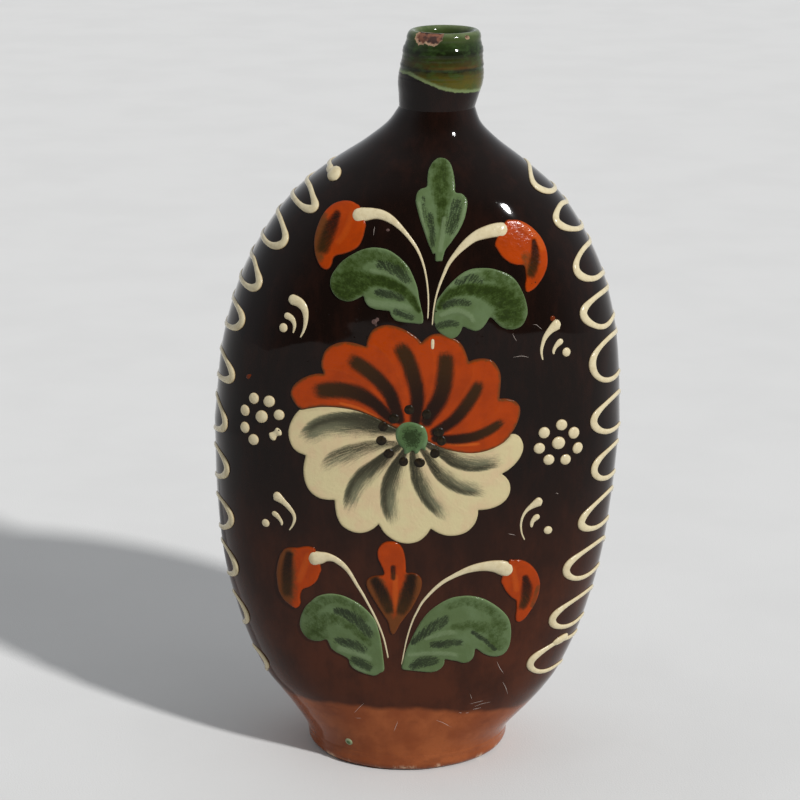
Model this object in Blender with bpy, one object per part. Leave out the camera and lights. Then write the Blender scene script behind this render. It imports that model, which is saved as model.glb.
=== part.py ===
"""Slip-decorated ceramic flask: a flattened oval body on an oval foot, with a thrown collar.

The flask stands on its foot, upright along +Z, with its decorated front towards -Y. The middle of
its box is at X 0, Y 0. Each slip mark is a separate piece of coloured clay laid on the body, so it
is a separate object here, on the body's curved surface with a hair's gap under it. The decoration
is drawn flat, as pairs of places across and up the front, and is then laid on the surface.
"""

import math

import bmesh
import bpy
import numpy as np
from mathutils import Matrix, Vector

# Ceramic shells, sizes in metres
FOOT_WIDTH = 0.0762
FOOT_DEPTH = 0.0660
FOOT_HEIGHT = 0.0065
FOOT_ROUND = 0.0030
BODY_WIDTH = 0.1488
BODY_DEPTH = 0.0832
BELLY_HEIGHT = 0.1235
SHOULDER_HEIGHT = 0.1130
WALL = 0.0050
COLLAR_HEIGHT = 0.0270
WAIST_DIAMETER = 0.0268
BULGE_DIAMETER = 0.0302
BULGE_HEIGHT = 0.0105
RIM_DIAMETER = 0.0262
RIM_ROUND = 0.0030
MOUTH_BORE = 0.0186
LEAN = 0.0130

# Clearances between fired pieces, in metres
JOINT_GAP = 0.0003
SLIP_GAP = 0.0003
NEIGHBOUR_GAP = 0.0006
BUD_GAP = 0.0011

# Thickness of the slip and width of the side trails, in metres
PAD_THICKNESS = 0.0006
LINE_THICKNESS = 0.0008
TRAIL_WIDTH = 0.0018
TRAIL_TURN_WIDTH = 0.0027

# The rosette's diameter, in shares of the body's width and of the height from foot to collar
ROSETTE_WIDTH_SHARE = 0.5376
ROSETTE_REACH_SHARE = 0.3383
ROSETTE_HEIGHT_SHARE = 0.5383
ROSETTE_OFFSET_SHARE = -0.0128

# Sizes of the front's marks in shares of the rosette's diameter
BOSS_SHARE = 0.1425
PETAL_NOTCH_SHARE = 0.0625
DOT_SHARE = 0.055
CENTRE_DOT_SHARE = 0.065
SMALL_DOT_SHARE = 0.0425
DOT_RING_SHARE = 0.0863
STEM_HEAD_SHARE = 0.0725
COMMA_SHARE = 0.04
SMALL_COMMA_SHARE = 0.03

# Counts and angles
ROUND_POINTS = 48
COLLAR_POINTS = 32
ROUNDING_STEPS = 3
FINE_STEPS = 720
PETALS_ORANGE = 6
PETALS_CREAM = 7
PETAL_COLUMNS = 4
PETAL_SWIRL = math.radians(26)
ORANGE_START = math.radians(1)
DOTS_IN_RING = 7
STEM_POINTS = 16
COMMA_POINTS = 7
DOT_SIDES = 10
TRAIL_LOOPS = 11
TRAIL_POINTS = 20
SHARP_ANGLE = math.radians(40)

# Section shape: 2 is an ellipse, and a higher power is a squarer oval
FOOT_POWER = 2.0
BODY_POWER = 2.7
NECK_POWER = 2.0

# Outlines in shares: (height share, swell share) from the foot to the widest place and from there
# to the collar, the collar's own radius, and how far the middle has leant to the right
BELLY_SHARES = ((0, 0), (0.02, 0.03), (0.045, 0.087), (0.077, 0.172), (0.11, 0.259), (0.15, 0.364),
                (0.206, 0.495), (0.287, 0.62), (0.417, 0.77), (0.595, 0.906), (0.8, 0.972), (1, 1))
SHOULDER_SHARES = ((0, 1), (0.22, 0.966), (0.425, 0.88), (0.6, 0.731), (0.735, 0.548), (0.83, 0.34),
                   (0.9, 0.156), (0.955, 0.045), (1, 0))
BULGE_SHARES = ((0, 0), (0.45, 0.5), (0.8, 0.92), (1, 1))
RIM_SHARES = ((0, 1), (0.17, 0.93), (0.25, 0.8), (0.35, 0.85), (0.51, 0.7), (0.59, 0.55), (0.7, 0.58),
              (0.85, 0.35), (1, 0))
LEAN_SHARES = ((0, 0), (0.03, 0.02), (0.059, 0.095), (0.074, 0.134), (0.093, 0.15), (0.111, 0.138),
               (0.148, 0.132), (0.259, 0.155), (0.37, 0.215), (0.481, 0.29), (0.593, 0.37), (0.704, 0.462),
               (0.822, 0.575), (0.863, 0.68), (0.9, 0.81), (0.94, 0.915), (1, 1))
LONGEST_RING_STEP_SHARE = 0.13
INNER_RING_SKIP = 3

# Slip outlines in shares of a mark's own length: across and along
TREFOIL_SHARES = ((0, 0), (0.04, 0.25), (0.16, 0.42), (0.26, 0.58), (0.22, 0.68), (0.15, 0.7),
                  (0.15, 0.82), (0.11, 0.95), (0, 1))
LEAF_SHARES = ((0, 0), (0.1, -0.09), (0.19, -0.11), (0.32, -0.06), (0.46, -0.11), (0.58, -0.07),
               (0.66, -0.01), (0.78, -0.15), (0.92, -0.1), (1, 0.04), (0.95, 0.2), (0.76, 0.42), (0.5, 0.48),
               (0.25, 0.36), (0.08, 0.13))
BUD_SHARES = ((0.02, 1), (0.22, 0.88), (0.32, 0.6), (0.29, 0.36), (0.15, 0.12), (0, 0), (-0.06, 0.18),
              (-0.05, 0.34), (-0.16, 0.45), (-0.3, 0.6), (-0.32, 0.78), (-0.2, 0.94))
GRADIENT_STEP_SHARE = 0.05
PAD_LEVEL_SHARES = ((1.0, 0.5), (0.84, 1.0), (0.4, 1.0))
PAD_UNDER_SHARES = (1.0, 0.5)
DOT_EDGE_SHARE = 0.45
LINE_TOP_SHARE = 0.5
LINE_STEEPEST_SHARE = 0.5
FAN_LEVEL_SHARES = ((0, 0.6), (0.3, 1.0), (0.66, 1.0), (0.9, 1.0), (1, 0.5))
STEM_WIDTH_SHARES = ((0, 0.5), (0.05, 0.9), (0.1, 1), (0.2, 0.7), (0.34, 0.4), (0.6, 0.26), (1, 0.15))
COMMA_WIDTH_SHARES = ((0, 0.4), (0.1, 0.9), (0.24, 1), (0.6, 0.62), (1, 0.25))

# Where the marks lie on the front, in shares of the rosette's diameter from its middle: across to
# the right and up. A mark's base or tip is followed by its length share, its tilt and its side.
TREFOIL_SHARES_BY_NAME = {
    "upper_trefoil": ((0.121, 0.768), 0.41, math.radians(0)),
    "lower_trefoil": ((-0.085, -0.948), 0.453, math.radians(2)),
}
LEAF_SHARES_BY_NAME = {
    "upper_leaf_left": ((0.039, 0.502), 0.435, math.radians(157), -1),
    "upper_leaf_right": ((0.118, 0.48), 0.413, math.radians(10), 1),
    "lower_leaf_left": ((-0.131, -1.135), 0.438, math.radians(152), -1),
    "lower_leaf_right": ((-0.026, -1.123), 0.512, math.radians(23), 1),
}
BUD_SHARES_BY_NAME = {
    "upper_bud_left": ((-0.376, 0.737), 0.29, math.radians(-18), -1),
    "upper_bud_right": ((0.506, 0.617), 0.312, math.radians(10), 1),
    "lower_bud_left": ((-0.523, -0.847), 0.315, math.radians(-6), -1),
    "lower_bud_right": ((0.487, -0.911), 0.315, math.radians(0), 1),
}
STEM_SHARES_BY_NAME = {
    "upper_stem_left": ((-0.234, 0.948), (-0.139, 0.958), (-0.065, 0.91), (0.005, 0.828),
                        (0.051, 0.734), (0.066, 0.64), (0.066, 0.521)),
    "upper_stem_right": ((0.385, 0.885), (0.275, 0.866), (0.215, 0.81), (0.154, 0.729), (0.111, 0.63),
                         (0.089, 0.509)),
    "lower_stem_left": ((-0.431, -0.588), (-0.374, -0.588), (-0.315, -0.613), (-0.259, -0.68),
                        (-0.204, -0.767), (-0.15, -0.88), (-0.106, -1.068)),
    "lower_stem_right": ((0.414, -0.638), (0.295, -0.613), (0.2, -0.65), (0.109, -0.719),
                         (0.041, -0.805), (-0.009, -0.905), (-0.054, -1.097)),
}
COMMA_SHARES_BY_PLACE = {
    "upper_left": (((-0.527, 0.592), (-0.459, 0.542), (-0.483, 0.424)),
                   ((-0.557, 0.519), (-0.526, 0.484), (-0.526, 0.44)), (-0.574, 0.457)),
    "lower_left": (((-0.609, -0.3), (-0.536, -0.369), (-0.542, -0.456)),
                   ((-0.621, -0.388), (-0.591, -0.419), (-0.591, -0.46)), (-0.651, -0.447)),
    "upper_right": (((0.637, 0.486), (0.57, 0.403), (0.573, 0.33)),
                    ((0.669, 0.407), (0.628, 0.378), (0.621, 0.33)), (0.684, 0.343)),
    "lower_right": (((0.578, -0.319), (0.501, -0.385), (0.505, -0.5)),
                    ((0.574, -0.395), (0.54, -0.429), (0.54, -0.475)), (0.607, -0.469)),
}
DOT_SHARES_BY_PLACE = {
    "left": ((-0.662, 0.046), math.radians(115)),
    "right": ((0.651, -0.06), math.radians(82)),
}
# Side, height share of the first turn up the body, spacing in shares of the side's whole run, reach
# forwards and back in shares of the body's depth, droop of the turns in shares of the spacing
TRAIL_SHARES_BY_NAME = {
    "side_trail_left": (-1, 0.874, 0.0712, 0.308, 0.27, 0),
    "side_trail_right": (1, 0.893, 0.0701, 0.391, 0.288, 0.128),
}
# Shares of a turn's spacing, and where a trail starts and ends in shares of a turn
TRAIL_ROUNDNESS_SHARE = 0.105
TRAIL_OPENING_SHARE = 0.08
TRAIL_START_SHARE = -0.3
TRAIL_END_SHARE = 0.3

# Colours as (red, green, blue), roughness
CLAY = ((0.42, 0.15, 0.055), 0.35)
DARK_GLAZE = ((0.020, 0.009, 0.006), 0.12)
GREEN_GLAZE = ((0.045, 0.075, 0.018), 0.12)
ORANGE_SLIP = ((0.50, 0.11, 0.022), 0.18)
CREAM_SLIP = ((0.76, 0.66, 0.42), 0.18)
GREEN_SLIP = ((0.075, 0.19, 0.060), 0.18)

BODY_HEIGHT = BELLY_HEIGHT + SHOULDER_HEIGHT
COLLAR_BASE = FOOT_HEIGHT + BODY_HEIGHT
FLASK_HEIGHT = COLLAR_BASE + COLLAR_HEIGHT
WIDEST_HEIGHT = FOOT_HEIGHT + BELLY_HEIGHT
ROSETTE_DIAMETER = min(ROSETTE_WIDTH_SHARE * BODY_WIDTH, ROSETTE_REACH_SHARE * BODY_HEIGHT)
ROSETTE_HEIGHT = FOOT_HEIGHT + ROSETTE_HEIGHT_SHARE * BODY_HEIGHT
ROSETTE_OFFSET = ROSETTE_OFFSET_SHARE * BODY_WIDTH
FRONT = -1
BACK = 1


def smooth_through(points):
    """Return a curve through (place, value) pairs that never overshoots them."""
    places, values = np.array(points, dtype=float).T
    steps = np.diff(places)
    slopes = np.diff(values) / steps
    product = slopes[:-1] * slopes[1:]
    total = np.where(product > 0, slopes[:-1] + slopes[1:], 1)
    middle = np.where(product > 0, 2 * product / total, 0)
    tangents = np.concatenate(([slopes[0]], middle, [slopes[-1]]))

    def value(place):
        place = min(max(place, places[0]), places[-1])
        index = min(int(np.searchsorted(places, place, side="right")) - 1, len(steps) - 1)
        share = (place - places[index]) / steps[index]
        left = 1 - share
        return float(values[index] * (1 + 2 * share) * left**2
                     + steps[index] * tangents[index] * share * left**2
                     + values[index + 1] * share**2 * (3 - 2 * share)
                     - steps[index] * tangents[index + 1] * share**2 * left)

    return value


belly_swell = smooth_through(BELLY_SHARES)
shoulder_swell = smooth_through(SHOULDER_SHARES)
bulge_swell = smooth_through(BULGE_SHARES)
rim_swell = smooth_through(RIM_SHARES)
lean_share = smooth_through(LEAN_SHARES)
stem_width_share = smooth_through(STEM_WIDTH_SHARES)
comma_width_share = smooth_through(COMMA_WIDTH_SHARES)


def body_section(height):
    """Return the body's half width, half depth and section power at a height."""
    body = np.array((BODY_WIDTH / 2, BODY_DEPTH / 2, BODY_POWER))
    if height <= WIDEST_HEIGHT:
        near = np.array((FOOT_WIDTH / 2, FOOT_DEPTH / 2, FOOT_POWER))
        swell = belly_swell((height - FOOT_HEIGHT) / BELLY_HEIGHT)
    else:
        near = np.array((WAIST_DIAMETER / 2, WAIST_DIAMETER / 2, NECK_POWER))
        swell = shoulder_swell((height - WIDEST_HEIGHT) / SHOULDER_HEIGHT)
    return near + (body - near) * swell


def box_middle():
    """Return how far right of the foot the middle of the body's width lies."""
    heights = np.linspace(FOOT_HEIGHT, COLLAR_BASE, FINE_STEPS)
    middles = np.array([LEAN * lean_share(height / FLASK_HEIGHT) for height in heights])
    halves = np.array([body_section(height)[0] for height in heights])
    return float((middles + halves).max() + (middles - halves).min()) / 2


BOX_MIDDLE = box_middle()


def centre_line(height):
    """Return the X of the leaning middle line at a height."""
    return LEAN * lean_share(height / FLASK_HEIGHT) - BOX_MIDDLE


def collar_radius(rise):
    """Return the collar's outer radius at a rise above its joint, below the rim's rounding."""
    bulge = BULGE_DIAMETER / 2
    if rise <= BULGE_HEIGHT:
        near = WAIST_DIAMETER / 2
        return near + (bulge - near) * bulge_swell(rise / BULGE_HEIGHT)
    near = RIM_DIAMETER / 2
    span = COLLAR_HEIGHT - RIM_ROUND - BULGE_HEIGHT
    return near + (bulge - near) * rim_swell((rise - BULGE_HEIGHT) / span)


def oval(half_width, half_depth, power, count):
    """Return count points spaced evenly round an oval, from +X towards +Y."""
    turn = np.linspace(0, 2 * math.pi, FINE_STEPS + 1)
    across = half_width * np.sign(np.cos(turn)) * np.abs(np.cos(turn)) ** (2 / power)
    deep = half_depth * np.sign(np.sin(turn)) * np.abs(np.sin(turn)) ** (2 / power)
    run = np.concatenate(([0], np.cumsum(np.hypot(np.diff(across), np.diff(deep)))))
    places = np.linspace(0, run[-1], count, endpoint=False)
    return np.column_stack((np.interp(places, run, across), np.interp(places, run, deep)))


def level_ring(height, half_width, half_depth, power, count):
    """Return a level ring of 3D points round the leaning middle line."""
    middle = centre_line(height)
    return [(middle + x, y, height) for x, y in oval(half_width, half_depth, power, count)]


def surface_value(point):
    """Return a value that is 1 on the body's surface and more outside it."""
    half_width, half_depth, power = body_section(point[2])
    across = abs(point[0] - centre_line(point[2])) / half_width
    return across**power + (abs(point[1]) / half_depth) ** power


def lifted(point, lift):
    """Move a point on the body's surface straight out by lift."""
    reach = GRADIENT_STEP_SHARE * WALL
    slope = [surface_value(point + step) - surface_value(point - step)
             for step in (Vector((reach, 0, 0)), Vector((0, reach, 0)), Vector((0, 0, reach)))]
    return point + Vector(slope).normalized() * lift


def on_face(across, height, lift, face=FRONT):
    """Return the point of a flat face at a place, lifted off the surface."""
    half_width, half_depth, power = body_section(height)
    share = min(abs(across - centre_line(height)) / half_width, 1)
    deep = half_depth * (1 - share**power) ** (1 / power)
    return lifted(Vector((across, face * deep, height)), lift)


def on_side(distance, height, lift, side):
    """Return the point a distance forwards along the section from a narrow side's middle."""
    half_width, half_depth, power = body_section(height)
    turn = np.linspace(0, math.pi, FINE_STEPS + 1)
    across = half_width * np.sign(np.cos(turn)) * np.abs(np.cos(turn)) ** (2 / power)
    deep = half_depth * np.sin(turn).clip(0) ** (2 / power)
    run = np.concatenate(([0], np.cumsum(np.hypot(np.diff(across), np.diff(deep)))))
    x = float(np.interp(abs(distance), run, across))
    y = float(np.interp(abs(distance), run, deep))
    y = FRONT * math.copysign(y, distance)
    return lifted(Vector((centre_line(height) + side * x, y, height)), lift)


def make_material(name, look):
    """Return a Principled material from a colour and roughness."""
    colour, roughness = look
    material = bpy.data.materials.new(name)
    material.use_nodes = True
    shader = material.node_tree.nodes["Principled BSDF"]
    shader.inputs["Base Color"].default_value = (*colour, 1)
    shader.inputs["Roughness"].default_value = roughness
    shader.inputs["Metallic"].default_value = 0
    return material


def add_piece(name, points, faces, look, parent):
    """Make one closed piece, with its origin at the middle of its points."""
    origin = sum((Vector(point) for point in points), Vector()) / len(points)
    mesh = bpy.data.meshes.new(name)
    mesh.from_pydata([Vector(point) - origin for point in points], [], faces)
    work = bmesh.new()
    work.from_mesh(mesh)
    bmesh.ops.recalc_face_normals(work, faces=work.faces)
    work.to_mesh(mesh)
    work.free()
    mesh.shade_smooth()
    mesh.set_sharp_from_angle(angle=SHARP_ANGLE)
    mesh.materials.append(make_material(name, look))
    piece = bpy.data.objects.new(name, mesh)
    piece.parent = parent
    piece.matrix_world = Matrix.Translation(origin)
    bpy.context.scene.collection.objects.link(piece)
    return piece


def loft(name, rings, look, parent, hollow=False):
    """Join rings into a solid with flat ends, or a hollow wall whose last ring meets its first."""
    count = len(rings[0])
    points = [point for ring in rings for point in ring]
    last = len(rings) if hollow else len(rings) - 1
    faces = []
    for ring in range(last):
        here = ring * count
        there = (ring + 1) % len(rings) * count
        for k in range(count):
            beyond = (k + 1) % count
            faces.append((here + k, here + beyond, there + beyond, there + k))
    if not hollow:
        faces.append(tuple(range(count))[::-1])
        faces.append(tuple(range(len(points) - count, len(points))))
    return add_piece(name, points, faces, look, parent)


def body_heights():
    """Return ring heights up the body: the outline's own heights, with long steps halved."""
    heights = [FOOT_HEIGHT + share * BELLY_HEIGHT for share, _ in BELLY_SHARES]
    heights += [WIDEST_HEIGHT + share * SHOULDER_HEIGHT for share, _ in SHOULDER_SHARES[1:]]
    heights[0] += JOINT_GAP
    heights[-1] -= JOINT_GAP
    longest = LONGEST_RING_STEP_SHARE * BELLY_HEIGHT
    filled = heights[:1]
    for low, high in zip(heights[:-1], heights[1:]):
        if high - low > longest:
            filled.append((low + high) / 2)
        filled.append(high)
    return filled


def add_foot(parent):
    """Add the oval foot: a clay slab with a rounded lower edge."""
    rings = []
    for step in range(ROUNDING_STEPS + 1):
        turn = step / ROUNDING_STEPS * math.pi / 2
        inset = FOOT_ROUND * (1 - math.sin(turn))
        height = FOOT_ROUND * (1 - math.cos(turn))
        half_width, half_depth = FOOT_WIDTH / 2 - inset, FOOT_DEPTH / 2 - inset
        rings.append(level_ring(height, half_width, half_depth, FOOT_POWER, ROUND_POINTS))
    rings.append(level_ring(FOOT_HEIGHT, FOOT_WIDTH / 2, FOOT_DEPTH / 2, FOOT_POWER, ROUND_POINTS))
    loft("foot_slab", rings, CLAY, parent)


def add_body(parent):
    """Add the hollow body wall, open below onto the foot and above into the collar."""
    heights = body_heights()
    outer = [level_ring(height, *body_section(height), ROUND_POINTS) for height in heights]
    inner_heights = heights[:-1:INNER_RING_SKIP] + heights[-1:]
    neck_wall = (WAIST_DIAMETER - MOUTH_BORE) / 2
    inner = []
    for height in reversed(inner_heights):
        neck_share = max(0, 1 - (COLLAR_BASE - height) / COLLAR_HEIGHT)
        wall = WALL + (neck_wall - WALL) * neck_share
        half_width, half_depth, power = body_section(height)
        inner.append(level_ring(height, half_width - wall, half_depth - wall, power, ROUND_POINTS))
    loft("body_shell", outer + inner, DARK_GLAZE, parent, hollow=True)


def add_collar(parent):
    """Add the round collar with its bulge, throwing rings, rounded rim and bore."""
    rises = [JOINT_GAP] + [share * BULGE_HEIGHT for share, _ in BULGE_SHARES[1:]]
    span = COLLAR_HEIGHT - RIM_ROUND - BULGE_HEIGHT
    rises += [BULGE_HEIGHT + share * span for share, _ in RIM_SHARES[1:]]
    radii = [collar_radius(rise) for rise in rises]
    rim_wall = (RIM_DIAMETER - MOUTH_BORE) / 2
    for step in range(1, 2 * ROUNDING_STEPS + 1):
        turn = step / (2 * ROUNDING_STEPS) * math.pi
        rises.append(COLLAR_HEIGHT - RIM_ROUND * (1 - math.sin(turn)))
        radii.append(MOUTH_BORE / 2 + rim_wall * (1 + math.cos(turn)) / 2)
    rises.append(JOINT_GAP)
    radii.append(MOUTH_BORE / 2)
    rings = [level_ring(COLLAR_BASE + rise, radius, radius, NECK_POWER, COLLAR_POINTS)
             for rise, radius in zip(rises, radii)]
    loft("neck_collar", rings, GREEN_GLAZE, parent, hollow=True)


def mark_place(share):
    """Return a flat place on the front, from its share of the rosette's diameter from the middle."""
    return np.array((ROSETTE_OFFSET, ROSETTE_HEIGHT)) + ROSETTE_DIAMETER * np.array(share)


def mark_places(shares):
    """Return the flat places on the front for a run of shares."""
    return [mark_place(share) for share in shares]


def closed_curve(points, steps):
    """Return a smooth closed curve through flat points, with steps points on each stretch."""
    points = np.array(points, dtype=float)
    curve = []
    for k, here in enumerate(points):
        before, there, after = points[k - 1], points[(k + 1) % len(points)], points[(k + 2) % len(points)]
        for step in range(steps):
            share = step / steps
            curve.append(0.5 * (2 * here + (there - before) * share
                                + (2 * before - 5 * here + 4 * there - after) * share**2
                                + (3 * here - before - 3 * there + after) * share**3))
    return curve


def open_curve(points, count):
    """Return count points evenly along a smooth open curve through flat points."""
    points = np.array(points, dtype=float)
    padded = np.vstack((2 * points[0] - points[1], points, 2 * points[-1] - points[-2]))
    fine = []
    for k in range(1, len(padded) - 2):
        before, here, there, after = padded[k - 1:k + 3]
        for step in range(count):
            share = step / count
            fine.append(0.5 * (2 * here + (there - before) * share
                               + (2 * before - 5 * here + 4 * there - after) * share**2
                               + (3 * here - before - 3 * there + after) * share**3))
    fine = np.array(fine + [points[-1]])
    run = np.concatenate(([0], np.cumsum(np.hypot(*np.diff(fine, axis=0).T))))
    places = np.linspace(0, run[-1], count)
    return np.column_stack((np.interp(places, run, fine[:, 0]), np.interp(places, run, fine[:, 1])))


def turned(point, angle):
    """Turn a flat point about the origin."""
    x, y = point
    return np.array((x * math.cos(angle) - y * math.sin(angle), x * math.sin(angle) + y * math.cos(angle)))


def add_pad(name, outline, levels, look, parent, face=FRONT, thickness=PAD_THICKNESS):
    """Lay a thin pad of slip with a flat outline on a face of the body."""
    middle = np.mean(outline, axis=0)
    count = len(outline)
    layers = [(share, SLIP_GAP + thickness * rise) for share, rise in levels]
    under = PAD_UNDER_SHARES if len(levels) > 1 else PAD_UNDER_SHARES[:1]
    layers += [(share, SLIP_GAP) for share in under]
    points = []
    for share, lift in layers:
        points += [on_face(*(middle + share * (place - middle)), lift, face) for place in outline]
    top_middle = len(points)
    points.append(on_face(*middle, SLIP_GAP + thickness, face))
    points.append(on_face(*middle, SLIP_GAP, face))
    tops = list(range(len(levels)))
    bottoms = list(range(len(levels), len(layers)))
    faces = []
    for k in range(count):
        beyond = (k + 1) % count
        for stack, hub in ((tops, top_middle), (bottoms, top_middle + 1)):
            for outer, inner in zip(stack[:-1], stack[1:]):
                faces.append((outer * count + k, outer * count + beyond,
                              inner * count + beyond, inner * count + k))
            faces.append((stack[-1] * count + k, stack[-1] * count + beyond, hub))
        edge = bottoms[0] * count
        faces.append((k, beyond, edge + beyond, edge + k))
    return add_piece(name, points, faces, look, parent)


def add_line(name, places, widths, heights, look, parent):
    """Lay a bead of slip along points of the surface, given as functions of a lift."""
    middles = [place(0) for place in places]
    rings = []
    for k, place in enumerate(places):
        ahead = middles[min(k + 1, len(middles) - 1)] - middles[max(k - 1, 0)]
        outward = (place(SLIP_GAP) - middles[k]).normalized()
        across = ahead.cross(outward).normalized() * widths[k] / 2
        foot = middles[k] + outward * SLIP_GAP
        crown = middles[k] + outward * (SLIP_GAP + heights[k])
        top = across * LINE_TOP_SHARE
        rings.append([foot - across, foot + across, crown + top, crown - top])
    return loft(name, rings, look, parent)


def add_stroke(name, shares, head_share, width_share, look, parent, count):
    """Lay one brush or trailer stroke along places of the front."""
    path = open_curve(mark_places(shares), count)
    widths = [head_share * ROSETTE_DIAMETER * width_share(k / (count - 1)) for k in range(count)]
    heights = [min(LINE_THICKNESS, LINE_STEEPEST_SHARE * w) for w in widths]
    places = [lambda lift, x=x, z=z: on_face(x, z, lift) for x, z in path]
    return add_line(name, places, widths, heights, look, parent)


def keep_clear(outline, middle, radius):
    """Draw the points of an outline that lie in a circle inwards until they are out of it."""
    heart = np.mean(outline, axis=0)
    cleared = []
    for place in outline:
        offset = place - middle
        if np.hypot(*offset) < radius:
            inward = (heart - place) / np.hypot(*(heart - place))
            along = offset @ inward
            place = place + inward * (math.sqrt(along**2 + radius**2 - offset @ offset) - along)
        cleared.append(place)
    return cleared


def clear_of_stem(outline, shares):
    """Draw the points of an outline out of a stem and its clearance."""
    path = open_curve(mark_places(shares), STEM_POINTS)
    for k, middle in enumerate(path):
        half_width = STEM_HEAD_SHARE * ROSETTE_DIAMETER / 2 * stem_width_share(k / (STEM_POINTS - 1))
        outline = keep_clear(outline, middle, half_width + BUD_GAP)
    return outline


def add_fan(name, petals, first_angle, look, parent, face):
    """Lay a fan of swirling petals round the boss as one pad with a scalloped edge."""
    middle_x = ROSETTE_OFFSET if face == FRONT else centre_line(ROSETTE_HEIGHT)
    start = BOSS_SHARE * ROSETTE_DIAMETER / 2 + NEIGHBOUR_GAP
    tip = ROSETTE_DIAMETER / 2
    columns = petals * PETAL_COLUMNS
    petal_angle = 2 * math.pi / (PETALS_ORANGE + PETALS_CREAM)
    grids = ([], [])
    for column in range(columns + 1):
        edge_side = 1 if column == 0 else -1 if column == columns else 0
        scallop = abs(math.sin(math.pi * column / PETAL_COLUMNS))
        reach = tip - PETAL_NOTCH_SHARE * ROSETTE_DIAMETER * (1 - scallop)
        rows = ([], [])
        for share, rise in FAN_LEVEL_SHARES:
            radius = start + (reach - start) * share
            angle = first_angle + petal_angle * column / PETAL_COLUMNS - PETAL_SWIRL * (1 - share)
            angle += edge_side * NEIGHBOUR_GAP / (2 * radius)
            across = middle_x - face * radius * math.cos(angle)
            height = ROSETTE_HEIGHT + radius * math.sin(angle)
            lift = PAD_THICKNESS * (FAN_LEVEL_SHARES[0][1] if edge_side else rise)
            rows[0].append(on_face(across, height, SLIP_GAP + lift, face))
            rows[1].append(on_face(across, height, SLIP_GAP, face))
        grids[0].append(rows[0])
        grids[1].append(rows[1])
    add_grid_slab(name, grids, look, parent)


def add_grid_slab(name, grids, look, parent):
    """Make a slab whose top and bottom are two grids of points of the same size."""
    columns = len(grids[0])
    rows = len(grids[0][0])
    points = [point for grid in grids for column in grid for point in column]

    def index(layer, column, row):
        return (layer * columns + column) * rows + row

    faces = []
    for layer in range(2):
        for column in range(columns - 1):
            for row in range(rows - 1):
                faces.append((index(layer, column, row), index(layer, column + 1, row),
                              index(layer, column + 1, row + 1), index(layer, column, row + 1)))
    rim = [(column, 0) for column in range(columns)]
    rim += [(columns - 1, row) for row in range(1, rows)]
    rim += [(column, rows - 1) for column in range(columns - 2, -1, -1)]
    rim += [(0, row) for row in range(rows - 2, 0, -1)]
    for here, there in zip(rim, rim[1:] + rim[:1]):
        faces.append((index(0, *here), index(0, *there), index(1, *there), index(1, *here)))
    return add_piece(name, points, faces, look, parent)


def add_dot(name, middle, size_share, look, parent, face=FRONT):
    """Lay one round drop of slip."""
    radius = size_share * ROSETTE_DIAMETER / 2
    outline = [middle + turned((radius, 0), 2 * math.pi * k / DOT_SIDES) for k in range(DOT_SIDES)]
    return add_pad(name, outline, ((1, DOT_EDGE_SHARE),), look, parent, face, LINE_THICKNESS)


def add_rosettes(parent):
    """Add the big flower on the front and, as a guess, the same flower on the back."""
    petal_angle = 2 * math.pi / (PETALS_ORANGE + PETALS_CREAM)
    cream_start = ORANGE_START + petal_angle * PETALS_ORANGE
    for prefix, face in (("rosette", FRONT), ("back_rosette", BACK)):
        add_fan(f"{prefix}_orange_fan", PETALS_ORANGE, ORANGE_START, ORANGE_SLIP, parent, face)
        add_fan(f"{prefix}_cream_fan", PETALS_CREAM, cream_start, CREAM_SLIP, parent, face)
        middle_x = ROSETTE_OFFSET if face == FRONT else centre_line(ROSETTE_HEIGHT)
        middle = np.array((middle_x, ROSETTE_HEIGHT))
        add_dot(f"{prefix}_boss", middle, BOSS_SHARE, GREEN_SLIP, parent, face)


def add_sprigs(parent):
    """Add the two sprigs: trefoils, leaves, stems with round heads, and buds beside the heads."""
    rosette = mark_place((0, 0))
    for name, (base, size, tilt) in TREFOIL_SHARES_BY_NAME.items():
        half = TREFOIL_SHARES
        whole = half + tuple((-x, y) for x, y in half[-2:0:-1])
        outline = [mark_place(base + size * turned(share, tilt)) for share in closed_curve(whole, 2)]
        look = GREEN_SLIP if name.startswith("upper") else ORANGE_SLIP
        add_pad(name, outline, PAD_LEVEL_SHARES, look, parent)
    for name, (base, size, tilt, side) in LEAF_SHARES_BY_NAME.items():
        curve = closed_curve(LEAF_SHARES, 2)
        outline = [mark_place(base + size * turned((x, side * y), tilt)) for x, y in curve]
        outline = keep_clear(outline, rosette, ROSETTE_DIAMETER / 2 + NEIGHBOUR_GAP)
        add_pad(name, outline, PAD_LEVEL_SHARES, GREEN_SLIP, parent)
    for name, shares in STEM_SHARES_BY_NAME.items():
        add_stroke(name, shares, STEM_HEAD_SHARE, stem_width_share, CREAM_SLIP, parent, STEM_POINTS)
    for name, (tip, size, tilt, side) in BUD_SHARES_BY_NAME.items():
        curve = closed_curve(BUD_SHARES, 2)
        outline = [mark_place(tip + size * turned((side * x, y), tilt)) for x, y in curve]
        outline = clear_of_stem(outline, STEM_SHARES_BY_NAME[name.replace("bud", "stem")])
        add_pad(name, outline, PAD_LEVEL_SHARES, ORANGE_SLIP, parent)


def add_commas(parent):
    """Add the groups of a big comma, a small comma and a dot."""
    for place, (big, small, dot) in COMMA_SHARES_BY_PLACE.items():
        for name, shares, size in (("comma", big, COMMA_SHARE), ("small_comma", small, SMALL_COMMA_SHARE)):
            add_stroke(f"{name}_{place}", shares, size, comma_width_share, CREAM_SLIP, parent, COMMA_POINTS)
        add_dot(f"comma_dot_{place}", mark_place(dot), SMALL_DOT_SHARE, CREAM_SLIP, parent)


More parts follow.
